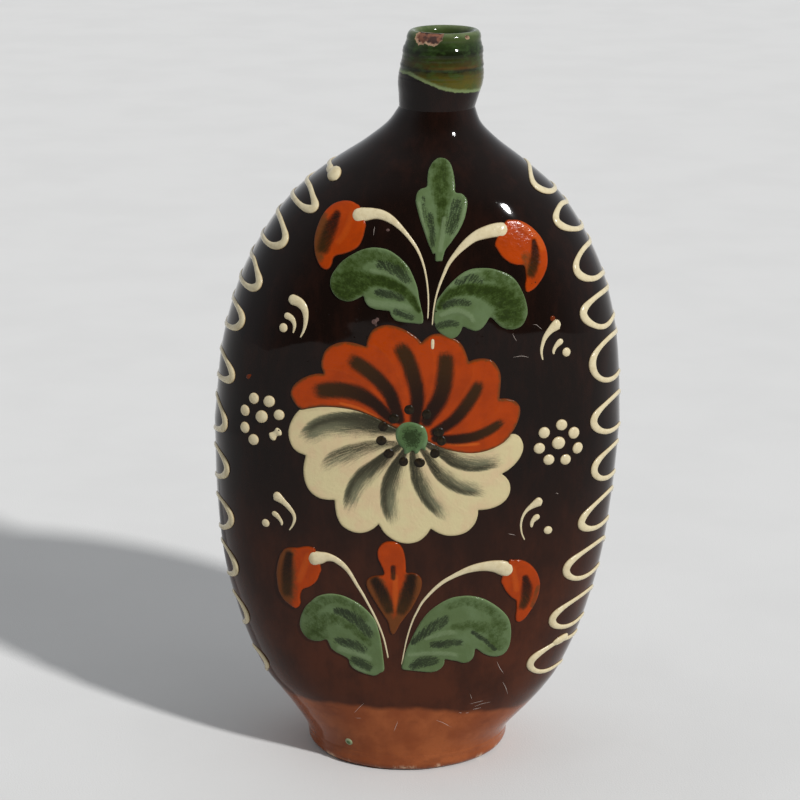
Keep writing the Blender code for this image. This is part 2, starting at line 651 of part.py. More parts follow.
def add_dot_rosettes(parent):
    """Add the two rings of dots, each round a larger dot."""
    for place, (middle, first_angle) in DOT_SHARES_BY_PLACE.items():
        add_dot(f"dot_{place}_centre", mark_place(middle), CENTRE_DOT_SHARE, CREAM_SLIP, parent)
        for k in range(DOTS_IN_RING):
            angle = first_angle + 2 * math.pi * k / DOTS_IN_RING
            at = mark_place(middle + turned((DOT_RING_SHARE, 0), angle))
            add_dot(f"dot_{place}_{k + 1}", at, DOT_SHARE, CREAM_SLIP, parent)


def side_run():
    """Return heights up the body and the run of a narrow side's outline to each."""
    heights = np.linspace(FOOT_HEIGHT, COLLAR_BASE, FINE_STEPS)
    halves = np.array([body_section(height)[0] for height in heights])
    return heights, np.concatenate(([0], np.cumsum(np.hypot(np.diff(heights), np.diff(halves)))))


def trail_swing(turns):
    """Return how far forwards a trail has swung, from -1 to 1, after a number of turns."""
    angle = 2 * math.pi * turns
    return (np.cos(angle) - TRAIL_ROUNDNESS_SHARE * np.cos(3 * angle)) / (1 - TRAIL_ROUNDNESS_SHARE)


def add_trails(parent):
    """Add the trailed line of each narrow side, which swings forwards and back as it goes down."""
    heights, runs = side_run()
    for name, (side, first, spacing, front, back, droop) in TRAIL_SHARES_BY_NAME.items():
        first_run = np.interp(FOOT_HEIGHT + first * BODY_HEIGHT, heights, runs)
        pitch = spacing * runs[-1]
        middle = (front - back) / 2 * BODY_DEPTH
        swing = (front + back) / 2 * BODY_DEPTH
        turns = np.linspace(TRAIL_START_SHARE, TRAIL_LOOPS - 1 + TRAIL_END_SHARE, FINE_STEPS)
        angle = 2 * math.pi * turns
        forward = trail_swing(turns)
        run = first_run - pitch * (turns + TRAIL_OPENING_SHARE * np.sin(angle) + droop * (1 - np.cos(angle)))
        travel = np.concatenate(([0], np.cumsum(np.hypot(np.diff(run), swing * np.diff(forward)))))
        places, widths = [], []
        for way in np.linspace(0, travel[-1], TRAIL_LOOPS * TRAIL_POINTS):
            height = float(np.interp(np.interp(way, travel, run), runs, heights))
            ahead = float(trail_swing(np.interp(way, travel, turns)))
            slimness = body_section(height)[1] / (BODY_DEPTH / 2)
            distance = (middle + swing * ahead) * slimness
            places.append(lambda lift, d=distance, h=height, s=side: on_side(d, h, lift, s))
            widths.append(TRAIL_WIDTH + (TRAIL_TURN_WIDTH - TRAIL_WIDTH) * max(0, ahead) ** 2)
        add_line(name, places, widths, [LINE_THICKNESS] * len(places), CREAM_SLIP, parent)


def build_flask():
    """Build every piece under one empty."""
    for item in list(bpy.data.objects):
        bpy.data.objects.remove(item)
    flask = bpy.data.objects.new("flask", None)
    bpy.context.scene.collection.objects.link(flask)
    add_foot(flask)
    add_body(flask)
    add_collar(flask)
    add_rosettes(flask)
    add_sprigs(flask)
    add_commas(flask)
    add_dot_rosettes(flask)
    add_trails(flask)


build_flask()
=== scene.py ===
"""The look of a slip-trailed ceramic flask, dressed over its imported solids.

The flask stands on its foot along +Z with its decorated front towards -Y. Places on the front are
given in millimetres, across to the right and up from the ground. Every other length is in metres.
"""

import logging
import math
from dataclasses import dataclass
from enum import Enum

import bmesh
import bpy
import numpy as np
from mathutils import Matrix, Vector
from mathutils.geometry import delaunay_2d_cdt


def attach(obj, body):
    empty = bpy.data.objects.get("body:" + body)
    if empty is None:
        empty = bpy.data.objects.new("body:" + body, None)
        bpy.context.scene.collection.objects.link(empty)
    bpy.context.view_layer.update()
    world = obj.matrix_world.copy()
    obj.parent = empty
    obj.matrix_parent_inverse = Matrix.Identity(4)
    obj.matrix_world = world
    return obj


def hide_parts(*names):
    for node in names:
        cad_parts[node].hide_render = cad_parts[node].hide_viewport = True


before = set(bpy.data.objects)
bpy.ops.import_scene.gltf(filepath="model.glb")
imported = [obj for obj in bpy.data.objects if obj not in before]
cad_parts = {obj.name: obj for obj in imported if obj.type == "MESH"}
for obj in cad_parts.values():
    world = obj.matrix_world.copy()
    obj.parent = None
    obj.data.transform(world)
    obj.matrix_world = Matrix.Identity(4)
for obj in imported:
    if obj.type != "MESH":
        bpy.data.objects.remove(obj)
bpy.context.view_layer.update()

log = logging.getLogger("flask")
Array = np.ndarray
Piece = bpy.types.Object
Socket = bpy.types.NodeSocket
Colour = tuple[float, float, float]
Outline = tuple[tuple[float, float], ...]
Route = tuple[tuple[float, float, float], ...]
MM = 0.001
FRONT = -1
BACK = 1
EDGE_SINK = 0.00012
PAD_SINK = 0.00045


# Outline of the flask

@dataclass(frozen=True)
class SmoothTable:
    """A curve through (place, value) pairs that never overshoots them."""

    pairs: Outline

    def at(self, place: Array | float) -> Array:
        """Read the curve.

        Args:
            place: Where to read it, one number or many.

        Returns:
            The curve's value at each place.
        """
        places, values = np.array(self.pairs, dtype=float).T
        steps = np.diff(places)
        slopes = np.diff(values) / steps
        product = slopes[:-1] * slopes[1:]
        total = np.where(product > 0, slopes[:-1] + slopes[1:], 1)
        middle = np.where(product > 0, 2 * product / total, 0)
        tangents = np.concatenate(([slopes[0]], middle, [slopes[-1]]))
        place = np.clip(place, places[0], places[-1])
        index = np.clip(np.searchsorted(places, place, side="right") - 1, 0, len(steps) - 1)
        share = (place - places[index]) / steps[index]
        left = 1 - share
        return (values[index] * (1 + 2 * share) * left**2 + steps[index] * tangents[index] * share * left**2
                + values[index + 1] * share**2 * (3 - 2 * share)
                - steps[index] * tangents[index + 1] * share**2 * left)


def ease(value: Array | float, low: float, high: float) -> Array:
    """Return a soft step that is 0 at low and 1 at high."""
    share = np.clip((np.asarray(value, dtype=float) - low) / (high - low), 0, 1)
    return share * share * (3 - 2 * share)


def run_along(points: Array) -> Array:
    """Return the distance along a line of points to each of them."""
    return np.concatenate(([0], np.cumsum(np.linalg.norm(np.diff(points, axis=0), axis=1))))


def oval(turn: Array, half_width: float, half_depth: float, power: float) -> Array:
    """Return an oval's flat points at turns from its right end."""
    turned = np.column_stack((np.cos(turn), np.sin(turn)))
    return (half_width, half_depth) * np.sign(turned) * np.abs(turned) ** (2 / power)


@dataclass(frozen=True)
class FlaskShape:
    """The flask's outline: an oval foot, a flattened oval body and a leaning round neck."""

    foot_width: float = 0.0762
    foot_depth: float = 0.0660
    foot_height: float = 0.0065
    body_width: float = 0.1488
    body_depth: float = 0.0832
    belly_height: float = 0.1235
    shoulder_height: float = 0.1130
    wall: float = 0.0050
    collar_height: float = 0.0270
    waist: float = 0.0268
    bulge: float = 0.0302
    bulge_height: float = 0.0105
    rim: float = 0.0262
    rim_round: float = 0.0030
    bore: float = 0.0186
    lean: float = 0.0130
    body_power: float = 2.7
    round_power: float = 2.0
    hand_dent: float = 0.00035
    foot_lap: float = 0.0003
    collar_lap: float = 0.0001
    feeler: float = 0.00025
    belly: SmoothTable = SmoothTable((
        (0, 0), (0.02, 0.03), (0.045, 0.087), (0.077, 0.172), (0.11, 0.259), (0.15, 0.364), (0.206, 0.495),
        (0.287, 0.62), (0.417, 0.77), (0.595, 0.906), (0.8, 0.972), (1, 1)))
    shoulder: SmoothTable = SmoothTable((
        (0, 1), (0.22, 0.966), (0.425, 0.88), (0.6, 0.731), (0.735, 0.548), (0.83, 0.34), (0.9, 0.156),
        (0.955, 0.045), (1, 0)))
    bulge_swell: SmoothTable = SmoothTable(((0, 0), (0.45, 0.5), (0.8, 0.92), (1, 1)))
    rim_swell: SmoothTable = SmoothTable((
        (0, 1), (0.17, 0.93), (0.25, 0.8), (0.35, 0.85), (0.51, 0.7), (0.59, 0.55), (0.7, 0.58), (0.85, 0.35),
        (1, 0)))
    leaning: SmoothTable = SmoothTable((
        (0, 0), (0.03, 0.02), (0.059, 0.095), (0.074, 0.134), (0.093, 0.15), (0.111, 0.138), (0.148, 0.132),
        (0.259, 0.155), (0.37, 0.215), (0.481, 0.29), (0.593, 0.37), (0.704, 0.462), (0.822, 0.575),
        (0.863, 0.68), (0.9, 0.81), (0.94, 0.915), (1, 1)))

    @property
    def widest(self) -> float:
        """Return the height of the widest place."""
        return self.foot_height + self.belly_height

    @property
    def collar_base(self) -> float:
        """Return the height at which the collar starts."""
        return self.widest + self.shoulder_height

    @property
    def height(self) -> float:
        """Return the whole height."""
        return self.collar_base + self.collar_height

    def section(self, height: Array) -> Array:
        """Measure the body's level section.

        Args:
            height: Heights above the ground.

        Returns:
            One row each of half width, half depth and section power.
        """
        height = np.asarray(height, dtype=float)
        low = height <= self.widest
        swell = np.where(low, self.belly.at((height - self.foot_height) / self.belly_height),
                         self.shoulder.at((height - self.widest) / self.shoulder_height))
        foot = (self.foot_width / 2, self.foot_depth / 2, self.round_power)
        neck = (self.waist / 2, self.waist / 2, self.round_power)
        body = (self.body_width / 2, self.body_depth / 2, self.body_power)
        near = [np.where(low, a, b) for a, b in zip(foot, neck)]
        return np.stack([n + (b - n) * swell for n, b in zip(near, body)])

    def box_middle(self) -> float:
        """Find how far right of the foot the middle of the body's width lies.

        Returns:
            The distance in metres.
        """
        heights = np.linspace(self.foot_height, self.collar_base, 720)
        middles = self.lean * self.leaning.at(heights / self.height)
        halves = self.section(heights)[0]
        return float((middles + halves).max() + (middles - halves).min()) / 2

    def centre(self, height: Array) -> Array:
        """Return the X of the leaning middle line at each height."""
        return self.lean * self.leaning.at(np.asarray(height) / self.height) - self.box_middle()

    def collar_radius(self, rise: Array) -> Array:
        """Measure the collar below the rim's rounding.

        Args:
            rise: Heights above the collar's joint.

        Returns:
            The radius at each height.
        """
        bulge = self.bulge / 2
        low = self.waist / 2 + (bulge - self.waist / 2) * self.bulge_swell.at(rise / self.bulge_height)
        span = self.collar_height - self.rim_round - self.bulge_height
        high = self.rim / 2 + (bulge - self.rim / 2) * self.rim_swell.at((rise - self.bulge_height) / span)
        return np.where(rise <= self.bulge_height, low, high)

    def outward(self, points: Array) -> Array:
        """Find the body's outward direction.

        Args:
            points: Points on the body.

        Returns:
            A unit direction for each point.
        """

        def value(at: Array) -> Array:
            """Measure where points lie against the body's surface.

            Args:
                at: The points.

            Returns:
                For each, 1 on the surface and more outside it.
            """
            half_width, half_depth, power = self.section(at[:, 2])
            across = np.abs(at[:, 0] - self.centre(at[:, 2])) / half_width
            return across**power + (np.abs(at[:, 1]) / half_depth) ** power

        steps = self.feeler * np.eye(3)
        slope = np.stack([value(points + step) - value(points - step) for step in steps], 1)
        return slope / np.linalg.norm(slope, axis=1, keepdims=True)

    def dent(self, points: Array) -> Array:
        """Measure how far the hand-shaped wall falls short of the true oval.

        Args:
            points: Points on the body.

        Returns:
            The shortfall at each point, in metres.
        """
        x, y, z = points.T / MM
        wave = np.sin(0.075 * x + 0.05 * z + 0.9) * np.sin(0.047 * z - 0.11 * y + 0.4)
        wave = wave + 0.45 * np.sin(0.16 * x - 0.09 * z + 2.1) * np.sin(0.13 * y + 0.12 * z)
        wave = wave + 0.22 * np.sin(0.31 * z + 0.05 * x) + 0.12 * np.sin(0.29 * x + 0.23 * z + 1.3)
        fade = ease(z, 8, 26) * ease(z, 241, 222)
        return self.hand_dent * (0.5 + 0.28 * wave) * fade

    def lifted(self, points: Array, lift: Array | float) -> tuple[Array, Array]:
        """Move points on the true oval to the hand-shaped skin and out from it.

        Args:
            points: Points on the true oval.
            lift: How far to stand out from the skin, one number or one for each point.

        Returns:
            The moved points and the outward directions.
        """
        outward = self.outward(points)
        rise = np.broadcast_to(lift, len(points)) - self.dent(points)
        return points + outward * rise[:, None], outward

    def on_face(self, flat: Array, lift: Array | float,
                face: int = FRONT) -> tuple[Array, Array]:
        """Place flat points on a broad face.

        Args:
            flat: Places to the right and up, in millimetres.
            lift: How far to stand out from the skin.
            face: Front or back.

        Returns:
            The points and the outward directions there.
        """
        across, height = flat[:, :2].T * MM
        half_width, half_depth, power = self.section(height)
        share = np.clip(np.abs(across - self.centre(height)) / half_width, 0, 0.9995)
        deep = half_depth * (1 - share**power) ** (1 / power)
        return self.lifted(np.column_stack((across, face * deep, height)), lift)

    def on_side(self, forward: Array, height: Array, side: int) -> tuple[Array, Array]:
        """Place points on the skin beside the middle line of a narrow side.

        Args:
            forward: Distances forwards along the level section from the side's middle.
            height: Heights above the ground.
            side: 1 for the right side and -1 for the left.

        Returns:
            The points and the outward directions there.
        """
        points = []
        for distance, *sizes, z in zip(forward, *self.section(height), height):
            line = oval(np.linspace(0, math.pi, 361), *sizes)
            run = run_along(line)
            x, y = (np.interp(abs(distance), run, axis) for axis in line.T)
            points.append((self.centre(z) + side * x, FRONT * math.copysign(y, distance), z))
        return self.lifted(np.array(points), 0)

    def side_run(self, height: Array) -> Array:
        """Return the distance up the outline of a narrow side to each height."""
        return run_along(np.column_stack((height, self.section(height)[0])))

    def ring(self, height: float, half_width: float, half_depth: float, power: float,
             count: int) -> Array:
        """Walk evenly round a level oval.

        Args:
            height: Height of the oval.
            half_width: Half its width.
            half_depth: Half its depth.
            power: Its section power.
            count: Number of points.

        Returns:
            The points, from +X towards +Y.
        """
        line = oval(np.linspace(0, 2 * math.pi, 1441), half_width, half_depth, power)
        run = run_along(line)
        at = np.linspace(0, run[-1], count, endpoint=False)
        x, y = (np.interp(at, run, axis) for axis in line.T)
        return np.column_stack((self.centre(height) + x, y, np.full(count, height)))


# Meshes

def flat_curve(points: list[tuple[float, float]] | Array, count: int, closed: bool) -> Array:
    """Draw a smooth curve through flat points.

    Args:
        points: The points it passes through.
        count: Number of even steps along it.
        closed: Whether it comes back to its start.

    Returns:
        The curve's points.
    """
    points = np.array(points, dtype=float)
    if closed:
        padded = np.vstack((points[-1], points, points[:2]))
    else:
        padded = np.vstack((2 * points[0] - points[1], points, 2 * points[-1] - points[-2]))
    fine = []
    for k in range(1, len(padded) - 2):
        before, here, there, after = padded[k - 1:k + 3]
        share = np.linspace(0, 1, 24, endpoint=False)[:, None]
        fine.append(0.5 * (2 * here + (there - before) * share
                           + (2 * before - 5 * here + 4 * there - after) * share**2
                           + (3 * here - before - 3 * there + after) * share**3))
    fine = np.vstack(fine + [padded[-2:-1]])
    run = run_along(fine)
    at = np.linspace(0, run[-1], count, endpoint=not closed)
    return np.column_stack([np.interp(at, run, fine[:, k]) for k in range(fine.shape[1])])


def link(name: str, data: bpy.types.ID) -> Piece:
    """Put a new object in the scene.

    Args:
        name: The object's name.
        data: Its mesh, curve or lamp.

    Returns:
        The object.
    """
    piece = bpy.data.objects.new(name, data)
    bpy.context.scene.collection.objects.link(piece)
    return piece


def make_piece(name: str, points: Array, faces: list[tuple[int, ...]], sharp: float = 50) -> Piece:
    """Make an object with its place in its mesh.

    Args:
        name: The piece's name.
        points: Its points.
        faces: Its faces, as point numbers.
        sharp: Angle in degrees past which an edge is sharp.

    Returns:
        The new object.
    """
    mesh = bpy.data.meshes.new(name)
    mesh.from_pydata(points.tolist(), [], faces)
    work = bmesh.new()
    work.from_mesh(mesh)
    bmesh.ops.recalc_face_normals(work, faces=work.faces)
    work.to_mesh(mesh)
    work.free()
    mesh.shade_smooth()
    mesh.set_sharp_from_angle(angle=math.radians(sharp))
    return link(name, mesh)


def mark_points(piece: Piece, name: str, values: Array) -> None:
    """Write one number for each point of a piece, for its finish to read."""
    layer = piece.data.attributes.new(name, "FLOAT", "POINT")
    layer.data.foreach_set("value", np.asarray(values, dtype=np.float32).ravel())


def loft_faces(rings: int, count: int, closed_loop: bool) -> list[tuple[int, ...]]:
    """Join rings of points into faces.

    Args:
        rings: Number of rings.
        count: Points in each ring.
        closed_loop: Whether the last ring meets the first, as on a hollow wall.

    Returns:
        The faces, with flat ends where the rings don't meet.
    """
    faces = []
    for ring in range(rings if closed_loop else rings - 1):
        here, there = ring * count, (ring + 1) % rings * count
        for k in range(count):
            beyond = (k + 1) % count
            faces.append((here + k, here + beyond, there + beyond, there + k))
    if not closed_loop:
        faces.append(tuple(range(count))[::-1])
        faces.append(tuple(range((rings - 1) * count, rings * count)))
    return faces


def edge_distance(places: Array, outline: Array) -> Array:
    """Measure how far flat places lie from a closed outline.

    Args:
        places: The places.
        outline: The outline's points.

    Returns:
        Each place's distance.
    """
    span = np.roll(outline, -1, axis=0) - outline
    length = np.maximum((span**2).sum(1), 1e-12)
    parts = []
    for start in range(0, len(places), 2000):
        offset = places[start:start + 2000, None, :] - outline[None]
        share = np.clip((offset * span).sum(2) / length, 0, 1)
        parts.append(np.sqrt(((offset - share[..., None] * span) ** 2).sum(2)).min(1))
    return np.concatenate(parts)


# Materials

class NodeWork:
    """A node tree while it is put together."""

    def __init__(self, tree: bpy.types.NodeTree) -> None:
        """Start on a tree."""
        self.tree = tree

    def add(self, kind: str, sockets: dict[int | str, object], **settings: object) -> bpy.types.Node:
        """Add a node.

        Args:
            kind: The node's type.
            sockets: Values or outputs for its inputs, by name or number.
            settings: The node's own settings.

        Returns:
            The new node.
        """
        node = self.tree.nodes.new(kind)
        for key, value in settings.items():
            setattr(node, key, value)
        for key, value in sockets.items():
            if isinstance(value, Socket):
                self.tree.links.new(value, node.inputs[key])
            else:
                node.inputs[key].default_value = value
        return node

    def maths(self, work: str, first: object, second: object) -> Socket:
        """Return the result of a sum on two numbers."""
        return self.add("ShaderNodeMath", {0: first, 1: second}, operation=work).outputs[0]

    def sum(self, first: object, second: object) -> Socket:
        """Return two numbers added up."""
        return self.maths("ADD", first, second)

    def times(self, first: object, second: object) -> Socket:
        """Return two numbers multiplied."""
        return self.maths("MULTIPLY", first, second)

    def less(self, first: object, second: object) -> Socket:
        """Return the first number less the second."""
        return self.maths("SUBTRACT", first, second)

    def level(self, at: Socket) -> Socket:
        """Return a place's height."""
        return self.add("ShaderNodeSeparateXYZ", {0: at}).outputs[2]

    def step(self, value: Socket, low: float, high: float, start: float = 0,
             end: float = 1) -> Socket:
        """Return a soft step of a value between two levels."""
        sockets = {0: value, 1: low, 2: high, 3: start, 4: end}
        return self.add("ShaderNodeMapRange", sockets, interpolation_type="SMOOTHSTEP").outputs[0]


class Recipe(NodeWork):
    """A ceramic finish while it is mixed."""

    def __init__(self, name: str, roughness: float, gloss: float) -> None:
        """Start a ceramic finish.

        Args:
            name: The material's name.
            roughness: Roughness of the glaze.
            gloss: Specular level of the glaze.
        """
        self.material = bpy.data.materials.new(name)
        self.material.use_nodes = True
        super().__init__(self.material.node_tree)
        self.shader = self.tree.nodes["Principled BSDF"]
        self.shader.inputs["Roughness"].default_value = roughness
        self.shader.inputs["Specular IOR Level"].default_value = gloss

    def place(self, stretch: tuple[float, float, float] = (1, 1, 1)) -> Socket:
        """Find the place on the object.

        Args:
            stretch: What each axis is multiplied by.

        Returns:
            The place in millimetres.
        """
        source = self.add("ShaderNodeTexCoord", {})
        scale = tuple(value / MM for value in stretch)
        return self.add("ShaderNodeMapping", {0: source.outputs["Object"], "Scale": scale}).outputs[0]

    def grain(self, across: float, along: float) -> Socket:
        """Return the brush's own map, with each direction times its scale."""
        source = self.add("ShaderNodeUVMap", {}, uv_map="grain")
        return self.add("ShaderNodeMapping", {0: source.outputs[0], "Scale": (across, along, 1)}).outputs[0]

    def read(self, name: str) -> Socket:
        """Return a number written on the piece's points."""
        return self.add("ShaderNodeAttribute", {}, attribute_name=name).outputs["Fac"]

    def noise(self, at: Socket, scale: float, detail: float = 3, roughness: float = 0.55) -> Socket:
        """Return a noise value at a place."""
        sockets = {"Vector": at, "Scale": scale, "Detail": detail, "Roughness": roughness}
        return self.add("ShaderNodeTexNoise", sockets).outputs[0]

    def blend(self, share: object, first: object, second: object) -> Socket:
        """Mix two colours.

        Args:
            share: The second colour's share.
            first: One colour.
            second: The other.

        Returns:
            The mixed colour.
        """
        first = (*first, 1) if isinstance(first, tuple) else first
        second = (*second, 1) if isinstance(second, tuple) else second
        return self.add("ShaderNodeMix", {0: share, 6: first, 7: second}, data_type="RGBA").outputs[2]

    def finish(self, colour: Socket, relief: Socket, depth: float,
               roughness: Socket | None = None) -> bpy.types.Material:
        """Join the colour and the relief to the shader.

        Args:
            colour: The surface's colour.
            relief: Height of the surface's fine relief.
            depth: Depth of that relief in metres.
            roughness: Roughness where it isn't the same all over.

        Returns:
            The finished material.
        """
        bump = self.add("ShaderNodeBump", {"Height": relief, "Distance": depth, "Strength": 1.0})
        self.tree.links.new(colour, self.shader.inputs["Base Color"])
        self.tree.links.new(bump.outputs[0], self.shader.inputs["Normal"])
        if roughness is not None:
            self.tree.links.new(roughness, self.shader.inputs["Roughness"])
        return self.material


@dataclass(frozen=True)
class ClearGlazedClay:
    """Red clay under a clear glaze, scratched and a little worn at its foot."""

    clay: Colour = (0.190, 0.047, 0.014)
    pale: Colour = (0.26, 0.072, 0.022)
    scorched: Colour = (0.105, 0.026, 0.009)
    worn: Colour = (0.60, 0.42, 0.28)
    relief_depth: float = 0.00012

    def colour(self, mix: Recipe) -> Socket:
        """Mix the clay's colour.

        Args:
            mix: The finish that it goes into.

        Returns:
            The colour.
        """
        at = mix.place()
        cloud = mix.step(mix.noise(at, 0.08, 4), 0.36, 0.66)
        colour = mix.blend(cloud, self.clay, self.pale)
        speck = mix.step(mix.noise(at, 1.1, 6, 0.75), 0.52, 0.78)
        colour = mix.blend(mix.times(speck, 0.5), colour, self.scorched)
        smear = mix.step(mix.noise(mix.place((0.4, 0.4, 1)), 0.22, 4), 0.56, 0.74)
        colour = mix.blend(mix.times(smear, 0.35), colour, self.scorched)
        level = mix.level(at)
        low = mix.step(level, 3.2, 1.2)
        rub = mix.step(mix.noise(mix.place((1, 1, 0.3)), 0.16, 5, 0.7), 0.52, 0.66)
        return mix.blend(mix.times(low, rub), colour, self.worn)

    def make(self) -> bpy.types.Material:
        """Make the foot's material.

        Returns:
            The material.
        """
        mix = Recipe("clear_glazed_clay", 0.22, 0.16)
        colour = self.colour(mix)
        return mix.finish(colour, mix.noise(mix.place(), 0.4, 3), self.relief_depth)


@dataclass(frozen=True)
class DarkGroundGlaze:
    """Near-black brown ground under a glossy glaze, redder where it runs thin, over the bare clay."""

    dark: Colour = (0.0060, 0.0030, 0.0021)
    warm: Colour = (0.013, 0.0048, 0.0030)
    thin: Colour = (0.056, 0.0150, 0.0060)
    relief_depth: float = 0.0003

    def ground(self, mix: Recipe) -> Socket:
        """Mix the ground's colour.

        Args:
            mix: The finish that it goes into.

        Returns:
            The colour.
        """
        at = mix.place()
        level = mix.level(at)
        low = mix.step(level, 128, 38)
        streak = mix.noise(mix.place((1, 1, 0.4)), 0.12, 6, 0.7)
        cloud = mix.noise(at, 0.045, 4)
        colour = mix.blend(mix.step(streak, 0.42, 0.75), self.dark, self.warm)
        share = mix.times(low, mix.step(mix.sum(streak, cloud), 0.7, 1.3, 0.5, 1.1))
        return mix.blend(share, colour, self.thin)

    def make(self) -> bpy.types.Material:
        """Make the body's material, with the clay below the ground's lower edge.

        Returns:
            The material.
        """
        mix = Recipe("dark_ground_glaze", 0.05, 0.15)
        ground = self.ground(mix)
        clay = ClearGlazedClay().colour(mix)
        edge = mix.sum(mix.read("bare"), mix.noise(mix.place(), 0.35, 5))
        colour = mix.blend(mix.step(edge, -0.9, 1.9), ground, clay)
        at = mix.place()
        pimples = mix.step(mix.noise(at, 0.5, 2), 0.68, 0.8, 0, 0.09)
        return mix.finish(colour, mix.sum(mix.noise(at, 0.05, 2, 0.4), pimples), self.relief_depth)


@dataclass(frozen=True)
class GreenRunGlaze:
    """Green glaze run over the collar in bands, pale where it thins to an edge, bare clay in the chip."""

    bands: tuple[tuple[float, Colour], ...] = (
        (249.0, (0.082, 0.096, 0.016)), (252.0, (0.074, 0.064, 0.006)), (255.0, (0.058, 0.046, 0.006)),
        (256.3, (0.032, 0.028, 0.006)), (257.4, (0.010, 0.012, 0.004)), (259.4, (0.036, 0.028, 0.006)),
        (261.2, (0.022, 0.024, 0.006)), (263.2, (0.007, 0.010, 0.003)), (265.6, (0.014, 0.024, 0.006)),
        (268.2, (0.042, 0.060, 0.018)), (270.0, (0.10, 0.125, 0.055)))
    green: Colour = (0.030, 0.058, 0.013)
    pale: Colour = (0.19, 0.25, 0.11)
    rust: Colour = (0.11, 0.042, 0.012)
    chip: Colour = (0.20, 0.085, 0.052)
    chip_dark: Colour = (0.055, 0.030, 0.025)
    chip_edge: Colour = (0.30, 0.19, 0.12)
    relief_depth: float = 0.00014

    def banded(self, mix: Recipe, level: Socket) -> Socket:
        """Run the glaze's colours up the collar.

        Args:
            mix: The finish that they go into.
            level: The height in millimetres.

        Returns:
            The colour.
        """
        low, high = self.bands[0][0], self.bands[-1][0]
        share = mix.add("ShaderNodeMapRange", {0: level, 1: low, 2: high}).outputs[0]
        ramp = mix.add("ShaderNodeValToRGB", {0: share})
        ramp.color_ramp.interpolation = "EASE"
        points = ramp.color_ramp.elements
        for number, (height, colour) in enumerate(self.bands):
            place = (height - low) / (high - low)
            point = points[number] if number in (0, 1) else points.new(place)
            point.position = place
            point.color = (*colour, 1)
        return ramp.outputs[0]

    def make(self) -> bpy.types.Material:
        """Make the collar's material.

        Returns:
            The material.
        """
        mix = Recipe("green_run_glaze", 0.08, 0.18)
        ground = DarkGroundGlaze().ground(mix)
        at = mix.place()
        level = mix.level(at)
        waver = mix.times(mix.noise(mix.place((1, 1, 0.25)), 0.3, 3), 2.2)
        green = self.banded(mix, mix.less(level, mix.less(waver, 1.1)))
        mottle = mix.noise(mix.place((0.8, 0.8, 1.2)), 0.32, 5, 0.6)
        green = mix.blend(mix.step(mottle, 0.42, 0.66, 0, 0.6), green, self.green)
        green = mix.blend(mix.read("ridge"), green, self.rust)
        line = mix.sum(mix.read("green"), mix.noise(at, 0.6, 3))
        edge = mix.times(mix.step(line, 0.2, 0.7), mix.step(line, 2.1, 1.0))
        colour = mix.blend(mix.step(line, 0.3, 0.8), ground, green)
        colour = mix.blend(mix.times(edge, 0.7), colour, self.pale)
        chip = mix.sum(mix.read("chip"), mix.less(mix.noise(at, 1.2, 3), 0.5))
        bare = mix.step(chip, 0.0, 0.22)
        rim = mix.step(chip, 0.75, 0.25)
        inside = mix.blend(mix.step(mix.noise(at, 0.5, 4), 0.44, 0.6), self.chip, self.chip_dark)
        colour = mix.blend(bare, colour, mix.blend(rim, inside, self.chip_edge))
        rough = mix.step(chip, 0.0, 0.2, 0.08, 0.7)
        return mix.finish(colour, mix.noise(at, 0.25, 3), self.relief_depth, rough)


@dataclass(frozen=True)
class BrushedSlip:
    """Coloured slip with brush streaks in it, thinner and duller at its edge."""

    name: str
    body: Colour
    tone: Colour
    # Paler slip on raised ridges and the boss's rim; it also colours the painted highlights on petal crests
    # and glint lines.
    ridge: Colour
    thin: Colour
    streak: Colour
    streak_end: Colour
    edge: Colour
    streak_depth: float = 0.92
    edge_width: float = 0.55
    hair_depth: float = 0.2
    grit_depth: float = 0.2
    streak_low: float = 0.1
    streak_high: float = 0.75
    thin_deep: float = 0.0
    relief_depth: float = 0.00012

    def make(self) -> bpy.types.Material:
        """Make the slip's material.

        Returns:
            The material.
        """
        mix = Recipe(self.name, 0.14, 0.12)
        at = mix.place()
        colour = mix.blend(mix.step(mix.noise(at, 0.16, 4), 0.36, 0.68), self.body, self.tone)
        grit = mix.step(mix.noise(at, 2.4, 5, 0.75), 0.32, 0.68, -self.grit_depth, self.grit_depth)
        hair = mix.step(mix.noise(mix.grain(24, 1.1), 1.0, 4, 0.65), 0.34, 0.66, -self.hair_depth,
                           self.hair_depth)
        fine = mix.sum(hair, grit)
        slight = mix.times(fine, 0.35)
        mottle = mix.step(mix.noise(at, 0.4, 5, 0.65), 0.3, 0.7, -0.24, 0.24)
        worn = mix.sum(mix.read("thin"), mix.sum(slight, mottle))
        worn = mix.times(worn, mix.step(mix.read("thin"), 0.0, 0.25))
        colour = mix.blend(mix.step(worn, 0.0, 0.95, 0, 0.95), colour, self.thin)
        deep = tuple(value * 0.42 for value in self.thin)
        colour = mix.blend(mix.step(worn, 0.7, 1.15, 0, self.thin_deep), colour, deep)
        # Pale ridge colour. It is the slip's own on the boss's rim and the sprigs' raised ridges. Along petal
        # crests and the orange fan's glint lines it is a painted highlight, and over the upper right bud a
        # painted reflection.
        colour = mix.blend(mix.step(mix.sum(mix.read("ridge"), slight), 0.05, 1.0, 0, 0.85), colour,
                              self.ridge)
        strength = mix.read("streak")
        cover = mix.step(mix.sum(strength, fine), self.streak_low, self.streak_high)
        cover = mix.times(cover, mix.step(strength, 0.0, 0.2))
        brushed = mix.blend(mix.read("warm"), self.streak, self.streak_end)
        colour = mix.blend(mix.times(cover, self.streak_depth), colour, brushed)
        rim = mix.sum(mix.read("edge"), mix.times(mix.noise(at, 1.1, 3), 0.35))
        colour = mix.blend(mix.step(rim, self.edge_width, 0.08), colour, self.edge)
        return mix.finish(colour, mix.noise(at, 0.7, 4), self.relief_depth)


